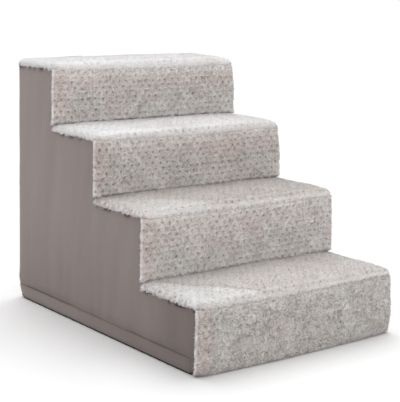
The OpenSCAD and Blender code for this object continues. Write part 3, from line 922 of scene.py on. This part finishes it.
def grow_tufts(roots, ways, lengths, widths, seed):
    """Slim tetrahedra: three points of a ring round each root, and a tip along its way."""
    count = len(roots)
    spin = np.random.default_rng(seed).uniform(0, 2 * np.pi, count)
    helper = np.where(abs(ways[:, 2:]) < 0.8, [[0, 0, 1.0]], [[1.0, 0, 0]])
    a = unit(np.cross(ways, helper))
    b = np.cross(ways, a)
    turns = spin[:, None] + np.arange(3) * 2 * np.pi / 3
    ring = np.cos(turns)[..., None] * a[:, None] + np.sin(turns)[..., None] * b[:, None]
    ring = roots[:, None] + ring * (widths / 2)[:, None, None]
    tip = (roots + ways * lengths[:, None])[:, None]
    points = np.concatenate([ring, tip], 1).reshape(-1, 3)
    first = 4 * np.arange(count)[:, None]
    faces = [first + np.array(order) for order in ((0, 2, 1), (0, 1, 3), (1, 2, 3), (2, 0, 3))]
    return points, np.concatenate(faces)


def scatter(panel, count, seed, weight):
    """Random places on a panel's grid: a random cell, taken more often where weight is high. Gives their
    roots, normals, shades and warmths, and the source of chance to draw on from."""
    s, t, face, back, normal, shade, warmth, gap = panel
    rng = np.random.default_rng(seed)
    share = np.cumsum(weight.ravel())
    pick = np.searchsorted(share, rng.uniform(0, share[-1], count))
    i, j = np.unravel_index(np.clip(pick, 0, weight.size - 1), weight.shape)
    shake = rng.uniform(-0.5, 0.5, (count, 3)) * GRID
    n = normal[i, j]
    shake -= n * np.sum(shake * n, -1, keepdims=True)
    return face[i, j] + shake, n, shade[i, j], warmth[i, j], rng


# %% Pile of one panel
def grow_pile(kind, i, panel):
    """The pile of one plush panel: short tufts all over, fewer in the pits, and longer ones at the edge."""
    s, t, face, back, normal, shade, warmth, gap = panel
    seed = i + 10 * len(kind)
    out_of_pits = 1 - 0.9 * np.clip((0.42 - shade) / 0.3, 0, 1)
    count = int(s.size * PILE_DENSITY)
    roots, n, tone, warm, rng = scatter(panel, count, 300 + seed, out_of_pits)
    ways = unit(n * 0.8 + PILE_COMB[kind] + rng.normal(0, 0.45, roots.shape))
    lengths = rng.uniform(*PILE_LENGTH[kind], count)
    widths = rng.uniform(*PILE_WIDTH[kind], count)
    tone = tone + rng.normal(0.02, PILE_VARIES[kind], count)

    edge = np.exp(-(gap / 2.0) ** 2)
    edge_count = int(edge.sum() * FRINGE_DENSITY)
    roots2, n2, tone2, warm2, rng = scatter(panel, edge_count, 340 + seed, edge)
    run = np.where(abs(n2[:, 0]) > 0.7, roots2[:, 1], roots2[:, 0]) + 0.8 * roots2[:, 2]
    clump = 0.5 + 0.5 * soft_noise(run, 0 * run, FRINGE_CLUMP, 91 + i)
    out, down = FRINGE_HANG[kind]
    ways2 = unit(n2 * 0.6 + (n2 * out + np.array([0, 0, down])) + rng.normal(0, 0.3, roots2.shape))
    lengths2 = FRINGE_SHORT + FRINGE_LONG[kind][i] * clump ** 1.5 * rng.uniform(0.5, 1.0, edge_count)
    widths2 = rng.uniform(*FRINGE_WIDTH, edge_count)
    tone2 = tone2 + 0.08 + 0.14 * clump + rng.normal(0, 0.05, edge_count)

    points, triangles = grow_tufts(
        np.concatenate([roots - n * ROOT_DEPTH, roots2 - n2 * ROOT_DEPTH]), np.concatenate([ways, ways2]),
        np.concatenate([lengths, lengths2]) + ROOT_DEPTH, np.concatenate([widths, widths2]), 360 + i)
    points[:, 2] = np.maximum(points[:, 2], LOWEST)
    tones = np.repeat(np.concatenate([tone, tone2]), 4)
    return link_piece(
        f"{kind}_pile_{i + 1}", points, [triangles], plush, "plush",
        shade=np.clip(tones, 0, 1), warmth=np.repeat(np.concatenate([warm, warm2]), 4))


# %% Plush pieces
for i in STEPS:
    for kind, make_panel, carrier in (
            ("tread", tread_panel, "topper_pad"), ("riser", riser_panel, "foam_slab")):
        panel = make_panel(i)
        s, t, face, back, normal, shade, warmth, gap = panel
        sheet = link_sheet(
            f"{kind}_plush_{i + 1}", face, back, plush, "plush", shade=shade, warmth=warmth)
        pile = grow_pile(kind, i, panel)
        declare_sheet(
            sheet, f"{kind}_cover_{i + 1}", (np.ptp(s), np.ptp(t)), [f"{carrier}_{i + 1}"],
            with_pieces=[pile])

# %% [markdown]
# ## Side cloth
#
# Each side is one piece of cloth with a stepped outline, pulled over the foam and sewn to the plush all
# the way up. It is a grid whose lines fall on the steps' corners, with the cells outside the outline
# left out. Sewn cloth over foam isn't flat: it has soft upright folds, it draws in at its seams, and it
# stands out a little above the hem band, which holds it in.

# %% Side cloth
SIDES = ((-1, "left"), (1, "right"))
CLOTH_GRID = 4.0
FOLD_DEPTH = 1.1
FINE_FOLD, FINE_CELL = 0.12, 7    # small unevenness all over
SEAM_DRAW = 1.0                   # how far it draws in at its seams
STANDS_OUT, HELD_IN = 1.3, 1.0    # above the hem band, and at the band's top
FLAT_BELOW, BEHIND_BAND = 0.2, -0.6    # it doesn't stand out lower down, and lies deeper behind the band
FOOT_TURN = 1.8                   # its foot turns in

hem_box = box_mm("left_hem_band")
hem_front, hem_top = hem_box[0][1], hem_box[1][2]
cloth_x, cloth_foot = -side_box[0][0], side_box[0][2]
cloth_t = side_box[1][0] - side_box[0][0]
cloth_back = side_box[1][1]
step_y = [y + plush_t for y in front_y]


def lines_through(stops, spacing):
    """Grid lines that pass through every stop, about one spacing apart between them."""
    parts = []
    for a, b in zip(stops[:-1], stops[1:]):
        count = max(int(round((b - a) / spacing)), 1)
        parts.append(np.linspace(a, b, count + 1)[:-1])
    return np.concatenate(parts + [[stops[-1]]])


def step_top(y):
    """Height of the seam over each place y: that of the last step that begins before it."""
    return np.array(seam_z)[np.clip(np.searchsorted(step_y, y, side="right") - 1, 0, 3)]


# %% Stepped outline
def stepped_grid(spacing):
    """Grid lines, points, kept cells and distance to the nearest seam of the stepped outline."""
    y_lines = lines_through(step_y + [cloth_back], spacing)
    z_lines = lines_through([cloth_foot, hem_top, *seam_z], spacing)
    Y, Z = np.meshgrid(y_lines, z_lines)
    mid_y, mid_z = (y_lines[1:] + y_lines[:-1]) / 2, (z_lines[1:] + z_lines[:-1]) / 2
    keep = mid_z[:, None] < step_top(mid_y)
    edge_gap = np.minimum(np.minimum(step_top(Y) - Z, Z - cloth_foot), cloth_back - Y)
    for k in STEPS:
        beside = np.where((Z > (seam_z[k - 1] if k else 0)) & (Y >= step_y[k]), Y - step_y[k], np.inf)
        edge_gap = np.minimum(edge_gap, beside)
    return y_lines, z_lines, Y, Z, keep, edge_gap


def cloth_tone_and_shade(y, z):
    """Painted shade and light, with the nap's own strokes: darker near the foot, darker again near the front
    and over the hem band, a little lighter high at the back, and darkest in short dashes of painted shadow
    under each step's seam."""
    low = smooth_step(z, 240, 0)
    front = smooth_step(y, hem_front + 140, hem_front)
    high_back_light = smooth_step(y + z, 300, 620)
    strokes = 0.03 * soft_noise(y, z * 0.4, 45, 408) + 0.035 * soft_noise(y + 0.05 * z, z * 0.12, 17, 410)
    hem_valley_shade = smooth_step(z, hem_top + 26, hem_top + 2) * smooth_step(z, hem_top - 6, hem_top)
    dash_shadow = smooth_step(step_top(y + 1) - z, 9, 4) * smooth_step(soft_noise(y, 0 * y, 8, 412), -0.1, 0.3)
    return 0.63 - 0.11 * low - 0.26 * front + 0.05 * high_back_light + strokes - 0.07 * hem_valley_shade - 0.65 * dash_shadow


# %% Side cloth pieces
y_lines, z_lines, Y, Z, keep, edge_gap = stepped_grid(CLOTH_GRID)
coarse_y, coarse_z, CY, CZ, coarse_keep, coarse_gap = stepped_grid(SIM_SPACING)
cut_area = float((np.outer(np.diff(z_lines), np.diff(y_lines)) * keep).sum())
for side, word in SIDES:
    seed = 400 + side
    hung = np.stack([np.full_like(CY, side * cloth_x), CY, CZ], -1)
    outward = np.broadcast_to([side, 0.0, 0.0], hung.shape)
    at_seam = (coarse_gap < 1) | (CZ < hem_top + 1)
    moved = settle_cloth(
        f"{word}_cloth", hung, outward, at_seam, [1, CUT_WIDER, CUT_TALLER], 510 + side, coarse_keep)
    crown = read_grid(moved, coarse_y, coarse_z, Y, Z)
    folds = soft_noise(Y + 0.12 * Z, Z * 0.12, 26, seed)
    folds += 0.7 * soft_noise(Y - 0.1 * Z, Z * 0.2, 58, seed + 3)
    fine = FINE_FOLD * soft_noise(Y, Z, FINE_CELL, seed + 5)
    lift = FOLD_DEPTH * folds * smooth_step(edge_gap, 0, 30) + fine - SEAM_DRAW * smooth_step(edge_gap, 7, 0)
    lift += crown
    above = smooth_step(Y, hem_front - 20, hem_front + 5) * (1 + 0.3 * soft_noise(Y, 0 * Z, 40, seed + 7))
    lift += STANDS_OUT * above * np.exp(-((Z - hem_top - 16) / 11) ** 2)
    lift -= HELD_IN * above * np.exp(-((Z - hem_top) / 7) ** 2)
    lift = np.where(Z < hem_top, np.minimum(lift, FLAT_BELOW), lift)
    lift = np.where((Z < hem_top) & (Y > hem_front), BEHIND_BAND, lift)
    tuck = FOOT_TURN * smooth_step(Z, 7, 0)
    face = np.stack([side * (cloth_x + lift - tuck), Y, Z], -1)
    back = np.stack([side * (cloth_x - cloth_t - tuck), Y, Z], -1)
    cloth = link_sheet(
        f"{word}_side_cloth", face, back, side_cloth, "side_cloth", keep, side < 0, tone=cloth_tone_and_shade(Y, Z))
    declare_sheet(
        cloth, f"{word}_side_panel", (cloth_back - step_y[0], seam_z[3] - cloth_foot),
        [f"foam_slab_{k + 1}" for k in STEPS], area=cut_area * MM ** 2)

# %% [markdown]
# ## Hem bands
#
# The foot of each side is finished with a folded band, stitched on near its top fold. It is one strip
# of cloth, folded once along its length and carried along the side. Its top is held in by the stitches,
# it is a little puffy below them, and its foot and its front end turn in.

# %% Hem bands
BAND_STEP = 3.0
BAND_CLOTH = 0.5             # thickness of the band's cloth, which lies double
BAND_ROOT, BAND_END = 1.0, 0.8    # how deep its inner layer and its two ends lie in the side cloth
HEM_PUFF, HEM_WAVE = 1.2, 0.4
HEM_TUCK, HEM_LIFT = 1.6, 0.4
STITCH_HOLD = 0.7            # how far the stitches hold the band in
STITCH_DROP = 4.0            # from the top fold down to the row of stitches
STITCH_PITCH, STITCH_LENGTH, THREAD = 4.2, 3.0, 0.6
STITCH_RING = 6              # points of each of a stitch's four rings, of which the end ones are small
STITCH_ALONG = np.array([-0.5, -0.3, 0.3, 0.5]) * STITCH_LENGTH
STITCH_BULK = np.array([0.35, 1.0, 1.0, 0.35]) * THREAD / 2
OUT_OF_FOLD = 8              # the thread has the tone of the cloth so far below it, out of the fold's painted shade


def hem_tone_and_shade(y, z):
    """The band is a little lighter than the cloth over it, and darkens slowly along its length. In the fold
    at its top it is painted darker, as shade."""
    along = smooth_step(y, hem_front + 430, hem_front - 60)
    fold_shade = smooth_step(z, hem_top - 8, hem_top - 1)
    return 0.63 - 0.26 * along - 0.03 * fold_shade + 0.03 * soft_noise(y, z, 45, 409)


def carry_profile(around, lines):
    """Faces of a closed profile carried along a path: a tube of `lines` rings of `around` points each. Its
    two ends are closed by a fan of triangles round their middle points, which come last."""
    index = np.arange(lines * around).reshape(lines, around)
    beside = np.roll(index, -1, axis=1)
    quads = np.stack([index[:-1], beside[:-1], beside[1:], index[1:]], -1).reshape(-1, 4)
    low = np.stack([np.full(around, index.size), beside[0], index[0]], -1)
    high = np.stack([np.full(around, index.size + 1), index[-1], beside[-1]], -1)
    return [quads, np.concatenate([low, high])]


def folded_band(x_in, x_out, z_low, z_high, y, seed):
    """Middle line of the folded cloth at each y: up the outer layer, round the top fold, down the inner
    layer. The outer layer swells between the stitches and the foot, and is held in at the top.
    The normal is the line's own direction, turned a quarter."""
    tight = x_out - STITCH_HOLD
    r = (tight - x_in - BAND_CLOTH) / 2
    q = np.linspace(0, 1, 15)[:, None]
    from_top = (1 - q) * (z_high - z_low - r)
    below = np.clip((from_top - STITCH_DROP) / (z_high - z_low - STITCH_DROP), 0, 1)
    puff = HEM_PUFF * np.sin(np.pi * below) ** 0.8 * (1 + 0.4 * soft_noise(y[None], q * 0, 32, seed))
    puff = puff + 0.1 * soft_noise(y[None], from_top, 6, seed + 1)
    puff = puff * smooth_step(from_top, 0, 2) - HEM_TUCK * smooth_step(q, 0.3, 0.0)
    wave = HEM_WAVE * soft_noise(y[None], q * 0, 60, seed + 2)
    outer_x = tight - BAND_CLOTH / 2 + puff
    outer_z = z_low + q * (z_high - z_low - r) + wave * q
    angle = np.linspace(0, np.pi, 7)[1:-1, None]
    fold_x = (x_in + tight) / 2 + r * np.cos(angle) + 0 * y[None]
    fold_z = z_high - r + r * np.sin(angle) + wave[-1:]
    inner_x = np.full((6, len(y)), x_in + BAND_CLOTH / 2)
    inner_z = outer_z[::-1][np.array([0, 2, 5, 8, 11, 14])]
    x, z = np.concatenate([outer_x, fold_x, inner_x]), np.concatenate([outer_z, fold_z, inner_z])
    tx, tz = np.gradient(x, axis=0), np.gradient(z, axis=0)
    size = np.hypot(tx, tz)
    return x, z, tz / size, -tx / size


# %% Hem band pieces
lo, hi = hem_box
hem_out = cloth_x + (hi[0] - lo[0])
centres = np.arange(lo[1] + 3, hi[1] - 2, STITCH_PITCH)
for side, word in SIDES:
    y = lines_through([lo[1], hi[1]], BAND_STEP)
    x, z, nx, nz = folded_band(cloth_x - BAND_ROOT, hem_out, lo[2] + HEM_LIFT, hi[2], y, 430 + side)
    taper = smooth_step(y, lo[1] - 2.0, lo[1] + 12) * smooth_step(y, hi[1] + 1.0, hi[1] - 6.0)
    layers = []
    for way in (0.5, -0.5):
        layer_x = cloth_x - BAND_END + (x + way * BAND_CLOTH * nx - cloth_x + BAND_END) * taper
        layer_z = np.maximum(z + way * BAND_CLOTH * nz, lo[2] * 0.5)
        layers.append(np.stack([side * layer_x, np.broadcast_to(y, x.shape), layer_z], -1))
    both = np.stack(layers)
    band = link_sheet(
        f"{word}_hem", *both, side_cloth, "side_cloth", flip=side < 0,
        tone=hem_tone_and_shade(both[..., 1], both[..., 2]))

    turns = np.arange(STITCH_RING) * 2 * np.pi / STITCH_RING
    rings = np.stack(np.broadcast_arrays(
        side * (hem_out - STITCH_HOLD + STITCH_BULK[:, None] * np.cos(turns)),
        centres[:, None, None] + STITCH_ALONG[:, None],
        hi[2] - STITCH_DROP + STITCH_BULK[:, None] * np.sin(turns)), -1)
    points = np.concatenate([rings.reshape(len(centres), -1, 3), rings[:, [0, -1]].mean(2)], 1)
    first = points.shape[1] * np.arange(len(centres))[:, None, None]
    faces = [(f + first).reshape(-1, f.shape[1]) for f in carry_profile(STITCH_RING, len(STITCH_BULK))]
    if side > 0:
        faces = [f[:, ::-1] for f in faces]
    points = points.reshape(-1, 3)
    stitches = link_piece(
        f"{word}_hem_stitches", points, faces, side_cloth, "side_cloth",
        tone=hem_tone_and_shade(points[:, 1], points[:, 2] - OUT_OF_FOLD))
    declare_sheet(
        band, f"{word}_hem_band", (hi[1] - lo[1], 2 * (hi[2] - lo[2]) + 2), [f"{word}_side_cloth"],
        held="folded", with_pieces=[stitches])

# %% [markdown]
# ## Back cloth
#
# The back is the same cloth in two parts, with the zip between them. Each part's edge at the zip is
# folded under, which makes it a little thicker there. It draws in at the seams with the sides.

# %% Back cloth
BACK_ROWS = 2.5
BACK_DRAW = 1.1              # how far it draws in at its seams
FOLD_UNDER = 9               # the edge at the zip is folded under so far, and stitched there
FOLD_THICK, FOLD_STITCH = 0.5, 0.4


def back_crown(name, lo, hi, X, Z, seed):
    """How far a wall of back cloth lifts as it settles over the foam, at the places X, Z."""
    x_lines, z_lines = [lines_through([lo[k], hi[k]], SIM_SPACING) for k in (0, 2)]
    CX, CZ = np.meshgrid(x_lines, z_lines)
    hung = np.stack([CX, np.full_like(CX, hi[1]), CZ], -1)
    outward = np.broadcast_to([0, 1.0, 0], hung.shape)
    at_seam = (abs(CX) > hi[0] - 1) | (CZ > hi[2] - 1) | (CZ < lo[2] + 1)
    moved = settle_cloth(f"{name}_panel", hung, outward, at_seam, [CUT_WIDER, 1, CUT_TALLER], seed)
    return read_grid(moved, x_lines, z_lines, X, Z)


def back_sheet(name, node, folded_low, seed):
    """A wall of cloth in x and z that faces the back: upright folds, drawn in at its edges, with a
    fold along the edge at the zip. Only a wall that is tall enough for the coarse cells is settled."""
    lo, hi = box_mm(node)
    X, Z = np.meshgrid(lines_through([lo[0], hi[0]], CLOTH_GRID), lines_through([lo[2], hi[2]], BACK_ROWS))
    zip_gap, far_gap = (Z - lo[2], hi[2] - Z) if folded_low else (hi[2] - Z, Z - lo[2])
    gap = np.minimum(np.minimum(X - lo[0], hi[0] - X), far_gap)
    folds = soft_noise(X + 0.15 * Z, Z * 0.15, 30, seed)
    folds += 0.5 * soft_noise(X - 0.2 * Z, Z * 0.3, 70, seed + 1)
    lift = FOLD_DEPTH * folds * smooth_step(np.minimum(gap, zip_gap), 0, 40)
    if hi[2] - lo[2] > 4 * SIM_SPACING:
        lift += back_crown(name, lo, hi, X, Z, seed + 60)
    lift += FINE_FOLD * soft_noise(X, Z, FINE_CELL, seed + 2) - BACK_DRAW * smooth_step(gap, 6, 0)
    folded = FOLD_THICK * smooth_step(zip_gap, FOLD_UNDER, FOLD_UNDER - 2) * smooth_step(zip_gap, 0, 1.5)
    lift += folded - FOLD_STITCH * np.exp(-((zip_gap - FOLD_UNDER) / 1.2) ** 2)
    face = np.stack([X, hi[1] + lift, Z], -1)
    back = np.stack([X, np.full_like(X, lo[1]), Z], -1)
    # Painted shade: the cloth is darker near its foot, as the sides are.
    tone = 0.55 - 0.08 * smooth_step(Z, 240, 0) + 0.03 * soft_noise(X, Z * 0.4, 45, seed + 3)
    cloth = link_sheet(name, face, back, side_cloth, "side_cloth", flip=True, tone=tone)
    declare_sheet(cloth, node, (hi[0] - lo[0], hi[2] - lo[2]), ["foam_slab_1"])


# %% Back cloth pieces
back_sheet("back_cloth", "back_panel", True, 450)
back_sheet("back_foot_cloth", "back_hem_strip", False, 460)

# %% [markdown]
# ## Base cloth
#
# The stairs stand on rows of low rubbery domes, 14 mm apart, on a cloth that lies just above the
# floor. The domes are part of the sheet's relief, so they are round from every side.

# %% Base cloth
DOT_PITCH, DOT_RADIUS, DOT_HEIGHT = 14.0, 3.2, 0.9
ROW_SHARE = 0.866            # every second row is off by half a pitch, so rows are closer than dots
DOT_GRID = 2.3

lo, hi = box_mm("base_panel")
X, Y = np.meshgrid(*[lines_through([lo[k], hi[k]], DOT_GRID) for k in (0, 1)])
row = np.round(Y / (DOT_PITCH * ROW_SHARE))
off_x = X / DOT_PITCH - 0.5 * (row % 2)
dx = (off_x - np.round(off_x)) * DOT_PITCH
dy = Y - row * DOT_PITCH * ROW_SHARE
dome = np.sqrt(np.clip(1 - (dx ** 2 + dy ** 2) / DOT_RADIUS ** 2, 0, 1))
face = np.stack([X, Y, lo[2] + DOT_HEIGHT * (1 - dome)], -1)
back = np.stack([X, Y, np.full_like(X, hi[2])], -1)
on_dot = np.stack([dome > 0, np.zeros(X.shape)])
base = link_sheet("base_cloth", face, back, grip_cloth, "grip_cloth", flip=True, dot=on_dot)
declare_sheet(base, "base_panel", (hi[0] - lo[0], hi[1] - lo[1]), ["foam_slab_1"])

# %% [markdown]
# ## Zip
#
# The tapes are two narrow woven sheets behind the slot, smooth beside the teeth and finely ribbed beyond
# them. The teeth, stops, slider and puller keep their CAD shape and get their finishes.

# %% Zip
TAPE_FRONT, TAPE_BACK = 0.08, 0.05    # how much thinner than its CAD solid a tape is drawn, on each side
TAPE_RIB = 0.05                       # height of the ribs, which repeat after 6 mm along and 2.1 mm up
SMOOTH_EDGE = 3.5                     # how far from the slot's middle they begin

slot_mid = (box_mm("zip_tape_upper")[0][2] + box_mm("zip_tape_lower")[1][2]) / 2
for word, neighbour in (("upper", "back_cloth"), ("lower", "back_foot_cloth")):
    lo, hi = box_mm(f"zip_tape_{word}")
    X, Z = np.meshgrid(lines_through([lo[0], hi[0]], 2.0), lines_through([lo[2], hi[2]], 0.7))
    from_mid = abs(Z - slot_mid)
    ribs = TAPE_RIB * np.sin(2 * np.pi * (X / 6 + from_mid / 2.1))
    outer = hi[1] - TAPE_FRONT + ribs * smooth_step(from_mid, SMOOTH_EDGE, SMOOTH_EDGE + 1)
    face = np.stack([X, outer, Z], -1)
    back = np.stack([X, np.full_like(X, lo[1] + TAPE_BACK), Z], -1)
    tape = link_sheet(f"tape_{word}", face, back, zip_cloth, "zip_tape", flip=True)
    declare_sheet(
        tape, f"zip_tape_{word}", (hi[0] - lo[0], hi[2] - lo[2]), [neighbour],
        with_pieces=[f"zip_teeth_{word}"])

for finish, nodes in (
        (teeth_plastic, ("zip_teeth_upper", "zip_teeth_lower")),
        (nickel, ("zip_top_stops", "zip_bottom_stop", "zip_slider", "zip_puller"))):
    for node in nodes:
        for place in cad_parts[node].material_slots:
            place.material = finish
        print(node, "gets", finish.name)

# %% [markdown]
# ## Foam
#
# Each slab and pad is one surface: rings of a rounded rectangle that start at the middle of its
# underside, go out, up the wall and in again over the top. The faces swell a little in their
# middles, as foam does under a tight cover, and the glued faces stay flat.

# %% Foam
RING_POINTS = 96
FACE_RINGS = [25, 60, 1e6]   # how far in the rings of a flat face lie, the last one in its middle


def foam_block(name, node, round_r, swell, material, slot):
    """Rings round a block's upright middle line. A ring's size goes from 0 to full and back, and its
    height steps from the floor of the block to its top round two quarter circles."""
    lo, hi = box_mm(node)
    half, centre = (hi - lo) / 2, (lo + hi) / 2
    turn = (np.arange(RING_POINTS) + 0.5) / RING_POINTS * 2 * np.pi
    square = np.stack([np.cos(turn), np.sin(turn)], -1)
    corner = (square / np.max(abs(square), axis=1, keepdims=True)) * half[:2]
    arc = np.linspace(0, np.pi / 2, 5)
    wall = np.linspace(lo[2] + round_r, hi[2] - round_r, 6)[1:-1]
    inset = np.concatenate([
        FACE_RINGS[::-1], round_r * (1 - np.sin(arc)), 0 * wall, round_r * (1 - np.cos(arc)), FACE_RINGS])
    height = np.concatenate([
        np.full(3, lo[2]), lo[2] + round_r * (1 - np.cos(arc)), wall,
        hi[2] - round_r * (1 - np.sin(arc)), np.full(3, hi[2])])
    fit = np.clip(inset, 0, min(half[:2]) * 0.999)[:, None, None]
    ring = corner[None] * np.clip(1 - fit / half[:2], 0.0, 1)
    bulge = swell * np.sin(np.pi * np.clip((height - lo[2]) / (hi[2] - lo[2]), 0, 1))[:, None]
    middle = np.cos(np.clip(corner / half[:2], -1, 1) * np.pi / 2)
    ring = ring - np.sign(ring) * (swell - bulge)[..., None] * 0.5 * (1 - middle[None, :, ::-1])
    z = np.broadcast_to(height[:, None], ring.shape[:2])
    points = np.concatenate([ring + centre[:2], z[..., None]], -1)
    ends = np.array([[*centre[:2], lo[2]], [*centre[:2], hi[2]]])
    faces = carry_profile(RING_POINTS, len(height))
    block = link_piece(name, np.concatenate([points.reshape(-1, 3), ends]), faces, material, slot)
    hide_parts(node)


# %% Foam pieces
for i in STEPS:
    foam_block(f"foam_step_{i + 1}", f"foam_slab_{i + 1}", 1.5, 0.6, firm_foam, "firm_foam")
    foam_block(f"soft_pad_{i + 1}", f"topper_pad_{i + 1}", 4.0, 0.8, soft_foam, "soft_foam")

# %% [markdown]
# ## Floor and light
#
# The stairs stand on a plain white floor in a white room. One large soft light hangs high above, behind
# and to the right, so the treads are brighter than the risers and a short shadow falls to the front and
# left. A weaker one fills from the front, and the room's own light softens the rest.

# %% Floor and light
FLOOR_HALF = 6.0
ROOM_LIGHT, SEEN_WHITE = 0.30, 1.05    # how strongly the room lights the stairs, and how white it looks

floor_mesh = bpy.data.meshes.new("floor")
floor_mesh.from_pydata(
    [(x * FLOOR_HALF, y * FLOOR_HALF, 0) for x, y in ((-1, -1), (1, -1), (1, 1), (-1, 1))],
    [], [(0, 1, 2, 3)])
floor_mesh.materials.append(new_material("floor_paint", Base_Color=to_linear("#FBFBFB"), Roughness=0.9)[0])
floor = add_object("floor", floor_mesh)

world = bpy.data.worlds.new("white_room")
bpy.context.scene.world = world
world.use_nodes = True
background = world.node_tree.nodes["Background"]
background.inputs["Color"].default_value = (1, 1, 1, 1)
rays = add_node(world.node_tree, "ShaderNodeLightPath")
strength = add_node(
    world.node_tree, "ShaderNodeMapRange", {"To Min": ROOM_LIGHT, "To Max": SEEN_WHITE},
    {"Value": rays.outputs["Is Camera Ray"]})
world.node_tree.links.new(strength.outputs["Result"], background.inputs["Strength"])


def soft_light(name, turn, rise, strength, softness):
    """A far, wide lamp, with its place in degrees round from the front to the right and up from the
    floor. softness is how wide it looks, in degrees too."""
    data = bpy.data.lights.new(name, "SUN")
    data.energy = strength
    data.angle = math.radians(softness)
    light = add_object(name, data)
    light.rotation_mode = "QUATERNION"
    light.rotation_quaternion = Vector(toward(*np.radians([turn, rise]))).to_track_quat("Z", "Y")


soft_light("ceiling_softbox", turn=150, rise=67, strength=2.62, softness=70)
soft_light("front_fill", turn=-4, rise=8, strength=1.25, softness=50)
bpy.context.scene.view_settings.view_transform = "Standard"
print("two soft lights, and a room that gives", ROOM_LIGHT)
